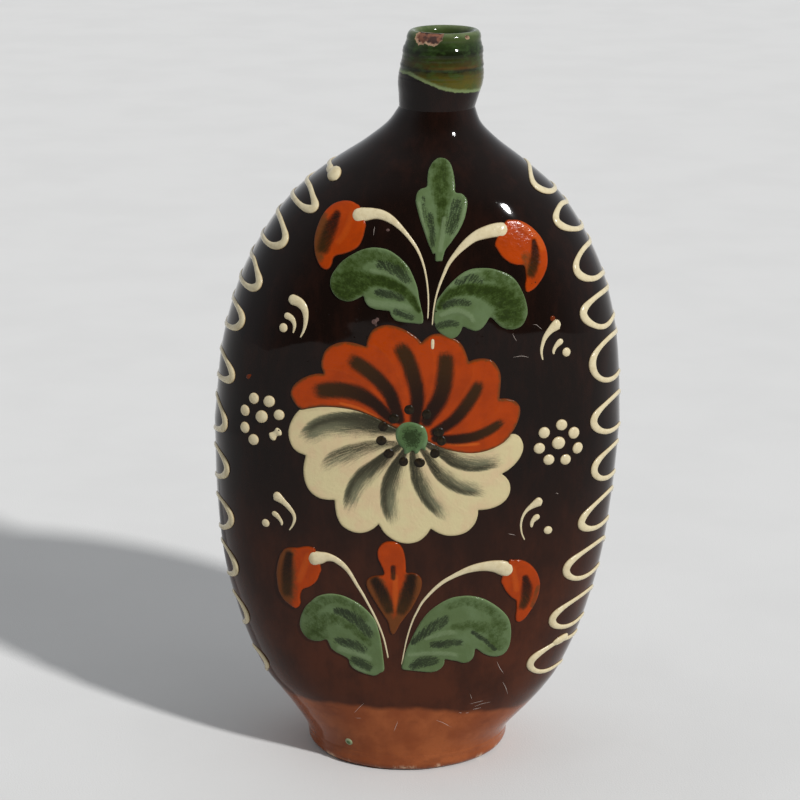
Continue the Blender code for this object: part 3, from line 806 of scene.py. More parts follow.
@dataclass(frozen=True)
class TrailedSlip:
    """Raised cream slip from a trailer, brownish down its sides where the glaze pools."""

    cream: Colour = (0.55, 0.475, 0.305)
    tone: Colour = (0.49, 0.41, 0.25)
    side: Colour = (0.34, 0.22, 0.10)
    root: Colour = (0.018, 0.008, 0.005)
    relief_depth: float = 0.00012

    def make(self) -> bpy.types.Material:
        """Make the trailed slip's material.

        Returns:
            The material.
        """
        mix = Recipe("trailed_cream_slip", 0.16, 0.2)
        at = mix.place()
        colour = mix.blend(mix.step(mix.noise(at, 0.5, 4), 0.4, 0.7), self.cream, self.tone)
        crown = mix.read("crown")
        colour = mix.blend(mix.step(crown, 0.5, 0.16, 0, 0.7), colour, self.side)
        colour = mix.blend(mix.step(crown, 0.13, 0.03), colour, self.root)
        return mix.finish(colour, mix.noise(at, 0.9, 3), self.relief_depth)


@dataclass(frozen=True)
class PlainDrop:
    """Small drops and scratches of two close colours."""

    name: str
    first: Colour
    second: Colour
    roughness: float
    relief_depth: float = 0.0002

    def make(self) -> bpy.types.Material:
        """Make the drops' material.

        Returns:
            The material.
        """
        mix = Recipe(self.name, self.roughness, 0.12)
        at = mix.place()
        colour = mix.blend(mix.step(mix.noise(at, 0.8, 3), 0.4, 0.7), self.first, self.second)
        return mix.finish(colour, mix.noise(at, 0.8, 3), self.relief_depth)


class Finish(Enum):
    """The finishes that a mark can have."""

    ORANGE = BrushedSlip("orange_slip", (0.315, 0.037, 0.0022), (0.26, 0.031, 0.0025), (0.42, 0.075, 0.008),
                         (0.10, 0.033, 0.008), (0.0060, 0.0036, 0.0020), (0.024, 0.012, 0.003),
                         (0.10, 0.017, 0.003), 0.975, 0.7, 0.07, 0.1, 0.02, 0.95)
    CREAM_PETAL = BrushedSlip("cream_petal_slip", (0.52, 0.445, 0.25), (0.52, 0.4, 0.235), (0.58, 0.51, 0.31),
                              (0.43, 0.36, 0.20), (0.016, 0.016, 0.009), (0.13, 0.13, 0.078),
                              (0.36, 0.30, 0.17), 0.975, 0.4, 0.16, 0.1, 0.02, 0.98)
    GREEN = BrushedSlip("green_slip", (0.078, 0.115, 0.045), (0.096, 0.140, 0.062), (0.145, 0.195, 0.100),
                        (0.030, 0.050, 0.009), (0.014, 0.019, 0.010), (0.020, 0.028, 0.013),
                        (0.135, 0.190, 0.085), 0.9, 0.6, 0.34, 0.42, 0.16, 0.86, 0.8)
    BOSS = BrushedSlip("boss_slip", (0.075, 0.130, 0.050), (0.055, 0.098, 0.033), (0.125, 0.195, 0.098),
                       (0.06, 0.13, 0.04), (0.010, 0.018, 0.004), (0.018, 0.032, 0.008),
                       (0.09, 0.14, 0.06), 0.9, 0.5, 0.3, 0.45, 0.2, 0.9)
    TRAILED = TrailedSlip()
    SPOT = PlainDrop("dark_spot", (0.010, 0.007, 0.004), (0.022, 0.015, 0.007), 0.2)
    PALE_DROP = PlainDrop("pale_green_drop", (0.26, 0.29, 0.17), (0.20, 0.24, 0.13), 0.2)
    CHIP = PlainDrop("bare_chip", (0.11, 0.065, 0.055), (0.05, 0.03, 0.026), 0.6)
    SCRATCH = PlainDrop("pale_scratch", (0.42, 0.36, 0.32), (0.30, 0.24, 0.20), 0.6)

    def material(self) -> bpy.types.Material:
        """Give the finish's material, made once.

        Returns:
            The material.
        """
        made = bpy.data.materials.get(f"made_{self.name.lower()}")
        if made is None:
            made = self.value.make()
            made.name = f"made_{self.name.lower()}"
        return made


# Geometry Nodes

class SlipTree(NodeWork):
    """A node tree that lays slip, with named inputs for its sizes."""

    def __init__(self, name: str, inputs: dict[str, float | int]) -> None:
        """Start a tree.

        Args:
            name: The tree's name.
            inputs: Its number inputs and their usual values.
        """
        super().__init__(bpy.data.node_groups.new(name, "GeometryNodeTree"))
        face = self.tree.interface
        face.new_socket("Geometry", in_out="OUTPUT", socket_type="NodeSocketGeometry")
        face.new_socket("Geometry", in_out="INPUT", socket_type="NodeSocketGeometry")
        for label, value in inputs.items():
            kind = "NodeSocketInt" if isinstance(value, int) else "NodeSocketFloat"
            face.new_socket(label, in_out="INPUT", socket_type=kind).default_value = value
        face.new_socket("Slip", in_out="INPUT", socket_type="NodeSocketMaterial")
        self.given = self.tree.nodes.new("NodeGroupInput").outputs

    def read(self, name: str, kind: str = "FLOAT") -> Socket:
        """Return what is written on the points."""
        return self.add("GeometryNodeInputNamedAttribute", {"Name": name}, data_type=kind).outputs[0]

    def write(self, shape: Socket, name: str, value: Socket,
              kind: str = "FLOAT") -> Socket:
        """Return a shape with a value written on its points."""
        sockets = {0: shape, "Name": name, "Value": value}
        return self.add("GeometryNodeStoreNamedAttribute", sockets, data_type=kind, domain="POINT").outputs[0]

    def close(self, shape: Socket) -> bpy.types.NodeTree:
        """Turn instances into a mesh, smooth it and give it its slip.

        Args:
            shape: The instances.

        Returns:
            The finished tree.
        """
        real = self.add("GeometryNodeRealizeInstances", {0: shape})
        smooth = self.add("GeometryNodeSetShadeSmooth", {0: real.outputs[0]})
        dressed = self.add("GeometryNodeSetMaterial", {0: smooth.outputs[0], "Material": self.given["Slip"]})
        self.add("NodeGroupOutput", {0: dressed.outputs[0]})
        return self.tree


def trail_tree() -> bpy.types.NodeTree:
    """Build the tree that lays a rounded bead of slip along a line of points.

    Returns:
        The tree. It reads each point's outward direction and half width.
    """
    made = bpy.data.node_groups.get("slip_bead")
    if made is not None:
        return made
    tree = SlipTree("slip_bead", {"Sides": 14, "Rise": 0.6, "Sink": 0.18})
    line = tree.add("GeometryNodeMeshToCurve", {0: tree.given["Geometry"]}).outputs[0]
    out, half_width = tree.read("out", "FLOAT_VECTOR"), tree.read("half_width")
    here = tree.add("GeometryNodeInputPosition", {}).outputs[0]
    kept = tree.write(line, "middle", here, "FLOAT_VECTOR")
    wide = tree.add("GeometryNodeSetCurveRadius", {0: kept, "Radius": half_width})
    ring = tree.add("GeometryNodeCurvePrimitiveCircle", {"Resolution": tree.given["Sides"], "Radius": 1.0})
    bead = tree.add("GeometryNodeCurveToMesh", {0: wide.outputs[0], 1: ring.outputs[0], "Fill Caps": True})
    if "Scale" in bead.inputs:
        tree.tree.links.new(half_width, bead.inputs["Scale"])
    offset = tree.add("ShaderNodeVectorMath", {0: here, 1: tree.read("middle", "FLOAT_VECTOR")},
                      operation="SUBTRACT").outputs[0]
    high = tree.add("ShaderNodeVectorMath", {0: offset, 1: out}, operation="DOT_PRODUCT").outputs[1]
    above = tree.maths("MAXIMUM", high, 0.0)
    below = tree.maths("MINIMUM", high, 0.0)
    flattened = tree.sum(tree.times(above, tree.given["Rise"]), tree.times(below, tree.given["Sink"]))
    shift = tree.add("ShaderNodeVectorMath", {0: out, "Scale": tree.less(flattened, high)}, operation="SCALE")
    named = tree.write(bead.outputs[0], "crown", tree.maths("DIVIDE", above, half_width))
    moved = tree.add("GeometryNodeSetPosition", {0: named, "Offset": shift.outputs[0]})
    return tree.close(moved.outputs[0])


def drop_tree() -> bpy.types.NodeTree:
    """Build the tree that lets a round drop of slip fall on each point.

    Returns:
        The tree. It reads each point's outward direction, radius and stretch.
    """
    made = bpy.data.node_groups.get("slip_drops")
    if made is not None:
        return made
    tree = SlipTree("slip_drops", {"Segments": 24, "Rings": 12, "Rise": 0.42})
    ball = tree.add("GeometryNodeMeshUVSphere", {"Segments": tree.given["Segments"],
                                                 "Rings": tree.given["Rings"], "Radius": 1.0})
    level = tree.level(tree.add("GeometryNodeInputPosition", {}).outputs[0])
    crowned = tree.write(ball.outputs[0], "crown", level)
    out = tree.read("out", "FLOAT_VECTOR")
    turned = tree.add("FunctionNodeAlignRotationToVector", {"Vector": out}, axis="Z")
    size = tree.read("half_width")
    scale = tree.add("ShaderNodeCombineXYZ", {0: tree.times(size, tree.read("stretch")), 1: size,
                                              2: tree.times(size, tree.given["Rise"])})
    points = tree.add("GeometryNodeMeshToPoints", {0: tree.given["Geometry"]})
    drops = tree.add("GeometryNodeInstanceOnPoints", {
        0: points.outputs[0], "Instance": crowned, "Rotation": turned.outputs[0], "Scale": scale.outputs[0]})
    return tree.close(drops.outputs[0])


@dataclass
class Line:
    """Points on the skin that a tree works along, with what it reads on them."""

    points: Array
    outward: Array
    half_width: Array
    stretch: Array | None = None
    joined: bool = True


def grow(name: str, lines: list[Line], tree: bpy.types.NodeTree, sizes: dict[str, float | int],
         finish: Finish) -> Piece:
    """Run a tree over lines and keep the result as a plain mesh.

    Args:
        name: The piece's name.
        lines: The lines or points that the tree works on.
        tree: The tree.
        sizes: Values for its named inputs.
        finish: The slip.

    Returns:
        The finished object.
    """
    points = np.vstack([line.points for line in lines])
    edges, start = [], 0
    for line in lines:
        if line.joined:
            edges += [(start + k, start + k + 1) for k in range(len(line.points) - 1)]
        start += len(line.points)
    mesh = bpy.data.meshes.new(name)
    mesh.from_pydata(points.tolist(), edges, [])
    out = mesh.attributes.new("out", "FLOAT_VECTOR", "POINT")
    out.data.foreach_set("vector", np.vstack([line.outward for line in lines]).astype(np.float32).ravel())
    numbers = {"half_width": np.concatenate([line.half_width for line in lines])}
    numbers["stretch"] = np.concatenate([
        np.ones(len(line.points)) if line.stretch is None else line.stretch for line in lines])
    for label, values in numbers.items():
        mesh.attributes.new(label, "FLOAT", "POINT").data.foreach_set("value", values.astype(np.float32))
    piece = link(name, mesh)
    modifier = piece.modifiers.new("slip", "NODES")
    modifier.node_group = tree
    sockets = {item.name: item.identifier for item in tree.interface.items_tree if item.in_out == "INPUT"}
    for label, value in sizes.items():
        modifier[sockets[label]] = value
    modifier[sockets["Slip"]] = finish.material()
    bpy.context.view_layer.update()
    ready = piece.evaluated_get(bpy.context.evaluated_depsgraph_get())
    result = bpy.data.meshes.new_from_object(ready)
    piece.modifiers.clear()
    piece.data = result
    result.name = name
    for label in ("out", "middle", "half_width", "stretch"):
        if label in result.attributes:
            result.attributes.remove(result.attributes[label])
    return piece


# Sub-assemblies

@dataclass
class Assembly:
    """A group of pieces of the flask that are built and dressed together."""

    shape: FlaskShape

    def settle(self, piece: Piece, slot: str, *nodes: str) -> Piece:
        """Hang a finished piece on the flask.

        Args:
            piece: The piece.
            slot: Not used.
            nodes: The solids that it stands for.

        Returns:
            The same piece.
        """
        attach(piece, "root")
        if nodes:
            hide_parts(*nodes)
        log.info("%s: %d faces for %s", piece.name, len(piece.data.polygons), ", ".join(nodes) or "no solid")
        return piece


@dataclass
class Foot(Assembly):
    """The oval clay foot."""

    points_round: int = 256
    edge_round: float = 0.0030
    edge_steps: int = 12
    wobble: float = 0.00014

    def build(self) -> None:
        """Build the slab with its worn lower edge."""
        rings = []
        for step in range(self.edge_steps + 1):
            turn = step / self.edge_steps * math.pi / 2
            rings.append((self.edge_round * (1 - math.sin(turn)), self.edge_round * (1 - math.cos(turn))))
        top = self.shape.foot_height + self.shape.foot_lap
        rings += [(0, z) for z in np.linspace(self.edge_round, top, 8)[1:]]
        walls = []
        for inset, z in rings:
            wall = self.shape.ring(z, self.shape.foot_width / 2 - inset, self.shape.foot_depth / 2 - inset,
                                   self.shape.round_power, self.points_round)
            angle = np.arctan2(wall[:, 1], wall[:, 0])
            fade = 1 - ease(z, 0.004, self.shape.foot_height)
            wobble = np.sin(3 * angle + 1) + 0.6 * np.sin(7 * angle) + 0.4 * np.sin(13 * angle + 2) - 2
            wall[:, :2] *= 1 + (self.wobble * wobble * fade / (self.shape.foot_depth / 2))[:, None]
            walls.append(wall)
        piece = make_piece("foot", np.vstack(walls), loft_faces(len(walls), self.points_round, False))
        piece.data.materials.append(ClearGlazedClay().make())
        self.settle(piece, "clay", "foot_slab")


@dataclass
class Body(Assembly):
    """The flattened oval wall with its dark ground, which ends in a wavy line above the foot."""

    points_round: int = 320
    rings_up: int = 210
    inner_rings: int = 40
    ground_edge: SmoothTable = SmoothTable((
        (-180, 25), (-150, 27.5), (-120, 24.5), (-95, 26.0), (-58, 26.9), (-36.5, 27.4), (-15.5, 27.4),
        (14, 26.5), (43.5, 23.5), (54.5, 22.5), (71.5, 22), (95, 24.5), (130, 27), (155, 24), (180, 25)))

    def build(self) -> None:
        """Build the wall and write where the ground ends."""
        shape = self.shape
        low, high = shape.foot_height + shape.foot_lap, shape.collar_base + shape.collar_lap
        fine = np.linspace(low, high, 900)
        run = shape.side_run(fine)
        heights = np.interp(np.linspace(0, run[-1], self.rings_up), run, fine)
        rings = []
        for z in heights:
            wall = shape.ring(z, *shape.section(z), self.points_round)
            rings.append(shape.lifted(wall, 0)[0])
        neck_wall = (shape.waist - shape.bore) / 2
        for z in np.interp(np.linspace(run[-1], 0, self.inner_rings), run, fine):
            share = max(0.0, 1 - (shape.collar_base - z) / shape.collar_height)
            wall = shape.wall + (neck_wall - shape.wall) * min(share, 1)
            half_width, half_depth, power = shape.section(z)
            rings.append(shape.ring(z, half_width - wall, half_depth - wall, power, self.points_round))
        points = np.vstack(rings)
        piece = make_piece("body", points, loft_faces(len(rings), self.points_round, True))
        angle = np.degrees(np.arctan2(points[:, 0] - shape.centre(points[:, 2]), -points[:, 1]))
        wave = 0.35 * np.sin(np.radians(angle) * 9 + 1) + 0.25 * np.sin(np.radians(angle) * 23)
        mark_points(piece, "bare", self.ground_edge.at(angle) + wave - points[:, 2] / MM)
        piece.data.materials.append(DarkGroundGlaze().make())
        self.settle(piece, "dark_glaze", "body_shell")


@dataclass
class Collar(Assembly):
    """The thrown collar with its ridges, green glaze and chipped rim."""

    points_round: int = 288
    outer_rings: int = 110
    rim_rings: int = 26
    inner_rings: int = 40
    ridge_depth: float = 0.0003
    chip_depth: float = 0.0011
    green_edge: SmoothTable = SmoothTable((
        (-180, 251.0), (-140, 254.0), (-100, 256.5), (-79, 255.5), (-53, 255.5), (-24, 253.5), (4, 251.0),
        (23, 250.0), (43, 249.5), (85, 249.0), (120, 252.0), (150, 249.5), (180, 251.0)))

    def build(self) -> None:
        """Build the wall, cut the chip and write where the glazes lie."""
        shape = self.shape
        span = shape.collar_height - shape.rim_round
        profile = [(rise, float(shape.collar_radius(rise)) - self.ridge_depth * self.ridges(rise))
                   for rise in np.linspace(shape.collar_lap, span, self.outer_rings)]
        wall = (shape.rim - shape.bore) / 2
        for step in range(1, self.rim_rings + 1):
            turn = step / self.rim_rings * math.pi
            inset = wall * (1 + math.cos(turn)) / 2
            profile.append((span + shape.rim_round * math.sin(turn), shape.bore / 2 + inset))
        inner = np.linspace(span, shape.collar_lap, self.inner_rings)[1:]
        profile += [(rise, shape.bore / 2) for rise in inner]
        rings = [shape.ring(shape.collar_base + rise, radius, radius, 2.0, self.points_round)
                 for rise, radius in profile]
        points = np.vstack(rings)
        middle = shape.centre(points[:, 2])
        angle = np.arctan2(points[:, 0] - middle, -points[:, 1])
        outer = np.repeat([k < self.outer_rings + self.rim_rings // 2 for k in range(len(rings))],
                          self.points_round)
        chip = np.where(outer, self.chip_mark(angle, points[:, 2]), -1)
        inward = self.chip_depth * ease(chip, 0, 0.7)
        reach = np.hypot(points[:, 0] - middle, points[:, 1])
        shrink = 1 - inward / reach
        points[:, 0] = middle + (points[:, 0] - middle) * shrink
        points[:, 1] *= shrink
        piece = make_piece("collar", points, loft_faces(len(rings), self.points_round, True), 60)
        mark_points(piece, "chip", chip)
        degrees = np.degrees(angle)
        mark_points(piece, "green", points[:, 2] / MM - self.green_edge.at(degrees))
        rise = (points[:, 2] - shape.collar_base) / MM
        ridge = np.exp(-((rise - 15.3) / 0.5) ** 2) * ease(degrees, -40, 0) * ease(degrees, 75, 40)
        mark_points(piece, "ridge", 0.4 * ridge)
        piece.data.materials.append(GreenRunGlaze().make())
        self.settle(piece, "green_glaze", "neck_collar")

    def ridges(self, rise: float) -> float:
        """Measure the throwing grooves.

        Args:
            rise: A height above the collar's joint.

        Returns:
            A groove's share of its depth there.
        """
        level = rise / MM
        groove = 0.9 * math.exp(-((level - 16.6) / 1.2) ** 2) + 0.7 * math.exp(-((level - 22.6) / 1.5) ** 2)
        return groove + 0.12 * (1 + math.sin(level * 4.1)) * float(ease(level, 9, 12) * ease(level, 25, 22))

    def chip_mark(self, angle: Array, height: Array) -> Array:
        """Measure how deep in the rim's chip points lie.

        Args:
            angle: Angles from the front, to the right.
            height: Heights above the ground.

        Returns:
            Distance into the chip in millimetres, less than 0 outside it.
        """
        across = angle * self.shape.rim / 2 / MM
        level = height / MM
        first = 2.9 - np.hypot((across + 9.0) / 1.15, (level - 269.0) / 1.05)
        second = 3.2 - np.hypot((across + 4.4) / 1.25, (level - 269.2) / 1.05)
        third = 0.8 - np.hypot((across - 8.6) / 1.3, level - 268.6)
        ripple = 0.25 * np.sin(across * 3.1) * np.sin(level * 2.3)
        return np.maximum(np.maximum(first, second) + ripple, third)


@dataclass(frozen=True)
class Streak:
    """A brush streak: flat points along it in millimetres, each with its half width."""

    path: Route
    strength: float = 1.0
    left_edge: float = 1.0
    right_edge: float = 1.0
    tail: float = 0.78

    def cover(self, flat: Array) -> tuple[Array, Array]:
        """Measure how strongly the streak covers flat places.

        Args:
            flat: The places.

        Returns:
            The strength from 0 to 1, and how far the streak's colour has faded there.
        """
        line = flat_curve(self.path, 56, False)
        offset = flat[:, None, :] - line[None, :, :2]
        reach = np.linalg.norm(offset, axis=2)
        near = reach.argmin(1)
        row = np.arange(len(flat))
        tangent = np.gradient(line[:, :2], axis=0)[near]
        gap = offset[row, near]
        left = tangent[:, 0] * gap[:, 1] - tangent[:, 1] * gap[:, 0] > 0
        width = line[near, 2] * np.where(left, self.left_edge, self.right_edge)
        hard = 0.5 if self.right_edge < 1 else 0.0
        start = np.where(left, 0.1, 0.1 + hard)
        fade = ease(reach[row, near] / width, start, np.where(left, 1.55, 1.55 - hard / 2))
        body = np.where(left & (hard > 0), (1 - fade) ** 1.3, 1 - fade ** 2)
        side = np.where(left, 1, -1) * reach[row, near] / line[near, 2]
        core = np.exp(-((side + 0.3) / 0.45) ** 2) if hard else np.zeros(len(flat))
        share = near / 55
        tone = ease(share, 0.15, 0.85) * (1 - 0.85 * core * (1 - ease(share, 0.75, 1)))
        return self.strength * body * (1 - ease(share, self.tail, 1.001) ** 2), tone


def brushed(flat: Array, marks: tuple[Streak, ...]) -> tuple[Array, Array]:
    """Lay brush streaks over flat places.

    Args:
        flat: The places.
        marks: The streaks.

    Returns:
        The strength of the strongest streak at each place, and how far its colour has faded there.
    """
    cover, along = np.zeros(len(flat)), np.zeros(len(flat))
    for mark in marks:
        strength, share = mark.cover(flat)
        along = np.where(strength > cover, share, along)
        cover = np.maximum(cover, strength)
    return cover, along


@dataclass
class PadNet:
    """Flat points of a pad of slip with their faces and their distance from its outline."""

    flat: Array
    faces: list[tuple[int, ...]]
    gap: Array

    def domed(self, thickness: float, edge_round: float = 0.6) -> Array:
        """Return the height of a soft-edged pad at each point, rounded over the edge in millimetres."""
        share = np.clip(self.gap / edge_round, 0, 1)
        return -EDGE_SINK + (thickness + EDGE_SINK) * np.sqrt(np.clip(1 - (1 - share) ** 2, 0, 1))


def is_inside(flat: Array, outline: Array) -> Array:
    """Tell which flat places lie inside a closed outline.

    Args:
        flat: The places.
        outline: The outline's points.

    Returns:
        Whether each place lies inside.
    """
    there = np.roll(outline, -1, axis=0)
    low = (outline[:, 1] > flat[:, 1, None]) != (there[:, 1] > flat[:, 1, None])
    rise = np.where(there[:, 1] == outline[:, 1], 1e-9, there[:, 1] - outline[:, 1])
    cross = outline[:, 0] + (flat[:, 1, None] - outline[:, 1]) * (there[:, 0] - outline[:, 0]) / rise
    return (low & (flat[:, 0, None] < cross)).sum(1) % 2 == 1


def fill_outline(outline: Array, step: float = 0.45) -> PadNet:
    """Fill a flat outline with an even net of small faces.

    Args:
        outline: The closed outline in millimetres.
        step: Distance between points.

    Returns:
        The net.
    """
    tangent = np.roll(outline, -1, axis=0) - np.roll(outline, 1, axis=0)
    tangent /= np.linalg.norm(tangent, axis=1, keepdims=True)
    inward = np.column_stack((-tangent[:, 1], tangent[:, 0]))
    area = (outline[:, 0] * np.roll(outline[:, 1], -1) - np.roll(outline[:, 0], -1) * outline[:, 1]).sum()
    inward *= math.copysign(1, area)
    layers = [outline]
    for depth in (0.1, 0.26, 0.48):
        ring = outline + inward * depth
        kept = is_inside(ring, outline) & (edge_distance(ring, outline) > 0.93 * depth)
        layers.append(ring[kept])
    low, high = outline.min(0), outline.max(0)
    rows = np.arange(low[1], high[1], step * 0.866)
    grid = [np.column_stack((np.arange(low[0] + k % 2 * step / 2, high[0], step), np.full(
        len(np.arange(low[0] + k % 2 * step / 2, high[0], step)), z))) for k, z in enumerate(rows)]
    grid = np.vstack(grid)
    grid = grid[is_inside(grid, outline)]
    layers.append(grid[edge_distance(grid, outline) > 0.72])
    points = np.vstack(layers)
    loop = [(k, (k + 1) % len(outline)) for k in range(len(outline))]
    made = delaunay_2d_cdt([Vector(point) for point in points.tolist()], loop, [], 0, 1e-6)
    flat = np.array([tuple(point) for point in made[0]])
    faces = np.array([tuple(face) for face in made[2]])
    kept = is_inside(flat[faces].mean(1), outline)
    return PadNet(flat, [tuple(face) for face in faces[kept].tolist()], edge_distance(flat, outline))


def even_outline(outline: Array, step: float) -> Array:
    """Space a closed outline's points evenly.

    Args:
        outline: The outline's points.
        step: Distance between new points.

    Returns:
        The new points.
    """
    closed = np.vstack((outline, outline[:1]))
    run = run_along(closed)
    at = np.linspace(0, run[-1], int(run[-1] / step), endpoint=False)
    return np.column_stack([np.interp(at, run, axis) for axis in closed.T])


def raise_pad(shape: FlaskShape, name: str, net: PadNet, lift: Array, face: int = FRONT) -> Piece:
    """Lay a closed pad of slip on a broad face.

    Args:
        shape: The flask's outline.
        name: The pad's name.
        net: Its flat points and faces.
        lift: Height of each point above the skin in metres.
        face: Front or back.

    Returns:
        The pad. Its upper points come first, then its lower ones in the same order.
    """
    top = shape.on_face(net.flat, lift, face)[0]
    low = shape.on_face(net.flat, -PAD_SINK, face)[0]
    size = len(net.flat)
    faces = net.faces + [tuple(size + k for k in corners) for corners in net.faces]
    edges: dict[tuple[int, int], int] = {}
    for corners in net.faces:
        for a, b in zip(corners, corners[1:] + corners[:1]):
            edges[min(a, b), max(a, b)] = edges.get((min(a, b), max(a, b)), 0) + 1
    faces += [(a, b, size + b, size + a) for (a, b), uses in edges.items() if uses == 1]
    return make_piece(name, np.vstack((top, low)), faces, 70)


def paint(piece: Piece, finish: Finish, fields: dict[str, Array], grain: tuple[Array, Array]) -> None:
    """Give a pad its finish and the brush fields that the finish reads.

    Args:
        piece: The pad.
        finish: Its slip.
        fields: The fields by name, each with one number for each of the pad's flat points.
        grain: The brush's own map, across and along it.
    """
    for label, values in fields.items():
        mark_points(piece, label, np.tile(values, 2))
    layer = piece.data.uv_layers.new(name="grain")
    order = np.empty(len(piece.data.loops), dtype=np.int64)
    piece.data.loops.foreach_get("vertex_index", order)
    pairs = np.tile(np.column_stack(grain), (2, 1))[order]
    layer.data.foreach_set("uv", pairs.astype(np.float32).ravel())
    piece.data.materials.append(finish.material())


@dataclass(frozen=True)
class Mark:
    """A flat mark of slip in millimetres: its outline, the root of its brush strokes and the strokes."""

    node: str
    root: tuple[float, float]
    outline: Outline
    dark: tuple[Streak, ...] = ()
    bright: tuple[Streak, ...] = ()
    thin: tuple[Streak, ...] = ()


# Each petal's first point is the notch before it
ORANGE_PETALS = (
    ((-39.2, 142.2), (-41.9, 142.9), (-43.8, 145.2), (-44.8, 147.8), (-44, 150.4), (-41.9, 152.65),
        (-38.95, 154.5), (-35.7, 155.6)),
    ((-33, 155.8), (-33.9, 158.5), (-33.4, 161.75), (-31.8, 164.7), (-28.55, 166.6), (-25.3, 167.3),
        (-22.05, 166.95)),
    ((-18.15, 165.85), (-17.7, 168.25), (-16.2, 171.2), (-13.6, 172.9), (-10.7, 173.45), (-7.1, 172.8),
        (-3.5, 171.2), (-0.6, 169.2)),
    ((1.15, 167.4), (2.65, 168.9), (5.25, 170.3), (9, 170.2), (13.4, 168.25), (15.3, 166.3),
        (16.6, 163.7)),
    ((17.6, 160.6), (19.9, 161.4), (22.8, 161.6), (25.7, 160.8), (27.7, 158.5), (28.85, 155.25),
        (28.8, 151.35)),
    ((28.45, 147.1), (31.25, 147), (33.85, 146), (35.5, 144.2), (35.9, 141.9), (35.3, 139),
        (33.85, 135.75)))
CREAM_PETALS = (
    ((-41.7, 142.2), (-43.5, 140), (-45.1, 136.7), (-45.7, 133.8), (-45.3, 130.9), (-44.15, 128.3),
        (-42.2, 126.65)),
    ((-39.6, 125.7), (-40.4, 121.8), (-40.4, 118.2), (-39.5, 114.6), (-37.65, 111.8), (-35.05, 110.1),
        (-32.1, 109.55)),
    ((-29.5, 109.6), (-29.3, 106.5), (-28.55, 102.9), (-26.9, 100), (-24.3, 98.2), (-21.4, 97.4),
        (-18.5, 97.7), (-15.9, 99)),
    ((-13.9, 100.8), (-12, 97.7), (-9.7, 95.6), (-7.1, 94.15), (-3.85, 93.5), (-0.9, 93.95),
        (1.35, 95.1), (3.3, 97.1)),
    ((4.6, 99.2), (6.55, 97.9), (9.15, 96.75), (12.1, 96.4), (15.3, 96.9), (17.9, 98.2), (20.1, 100.65),
        (21.2, 103.6)),
    ((21.4, 106), (23.45, 106.05), (26.4, 106.6), (29.3, 107.9), (31.6, 110.1), (32.7, 113),
        (32.4, 115.9), (31.25, 117.9)),
    ((29.6, 119.4), (31.9, 120.7), (34.2, 122.75), (36.1, 125.35), (37.1, 128.3), (36.8, 130.9),
        (35.5, 133.15)))
ORANGE_STREAKS = (
    Streak(((-9, 140, 1.6), (-11, 141.6, 1.8), (-14.9, 145.5, 2.2), (-20.1, 148.75, 2.7),
        (-25.3, 150.05, 2.8), (-30.5, 150.05, 2.8), (-35.05, 149.4, 2.6), (-38.3, 148.4, 2))),
    Streak(((-6.5, 140, 1.8), (-7.4, 142.25, 2.2), (-9.7, 148.75, 2.5), (-13.6, 153.95, 2.5),
        (-18.15, 157.85, 2.5), (-22.7, 160.8, 2.3), (-25.95, 162.4, 1.7))),
    Streak(((-0.8, 140, 2), (-0.6, 142.6, 2.2), (-0.3, 148.75, 2.5), (-1.6, 155.25, 2.7),
        (-3.85, 161.75, 2.7), (-6.45, 165.65, 2.4), (-8.4, 168.25, 1.6))),
    Streak(((3, 139.6, 2.2), (3.95, 141.6, 2.5), (7.2, 146.8, 2.8), (8.8, 152, 2.8), (9.5, 157.85, 2.8),
        (9.5, 163.05, 2.4), (9.5, 165.65, 1.8))),
    Streak(((6, 135.4, 1.7), (7.85, 136.4, 1.9), (12.4, 139.65, 2.1), (16.3, 144.2, 2.2),
        (19.25, 148.75, 2.1), (21.2, 152.65, 1.8), (22.15, 154.9, 1.3))),
    Streak(((6, 133, 1.4), (8.5, 132.8, 1.6), (14.35, 132.8, 1.8), (20.2, 133.8, 1.8), (25.4, 136.1, 1.7),
        (29.3, 138.7, 1.4), (31.25, 139.65, 1))))
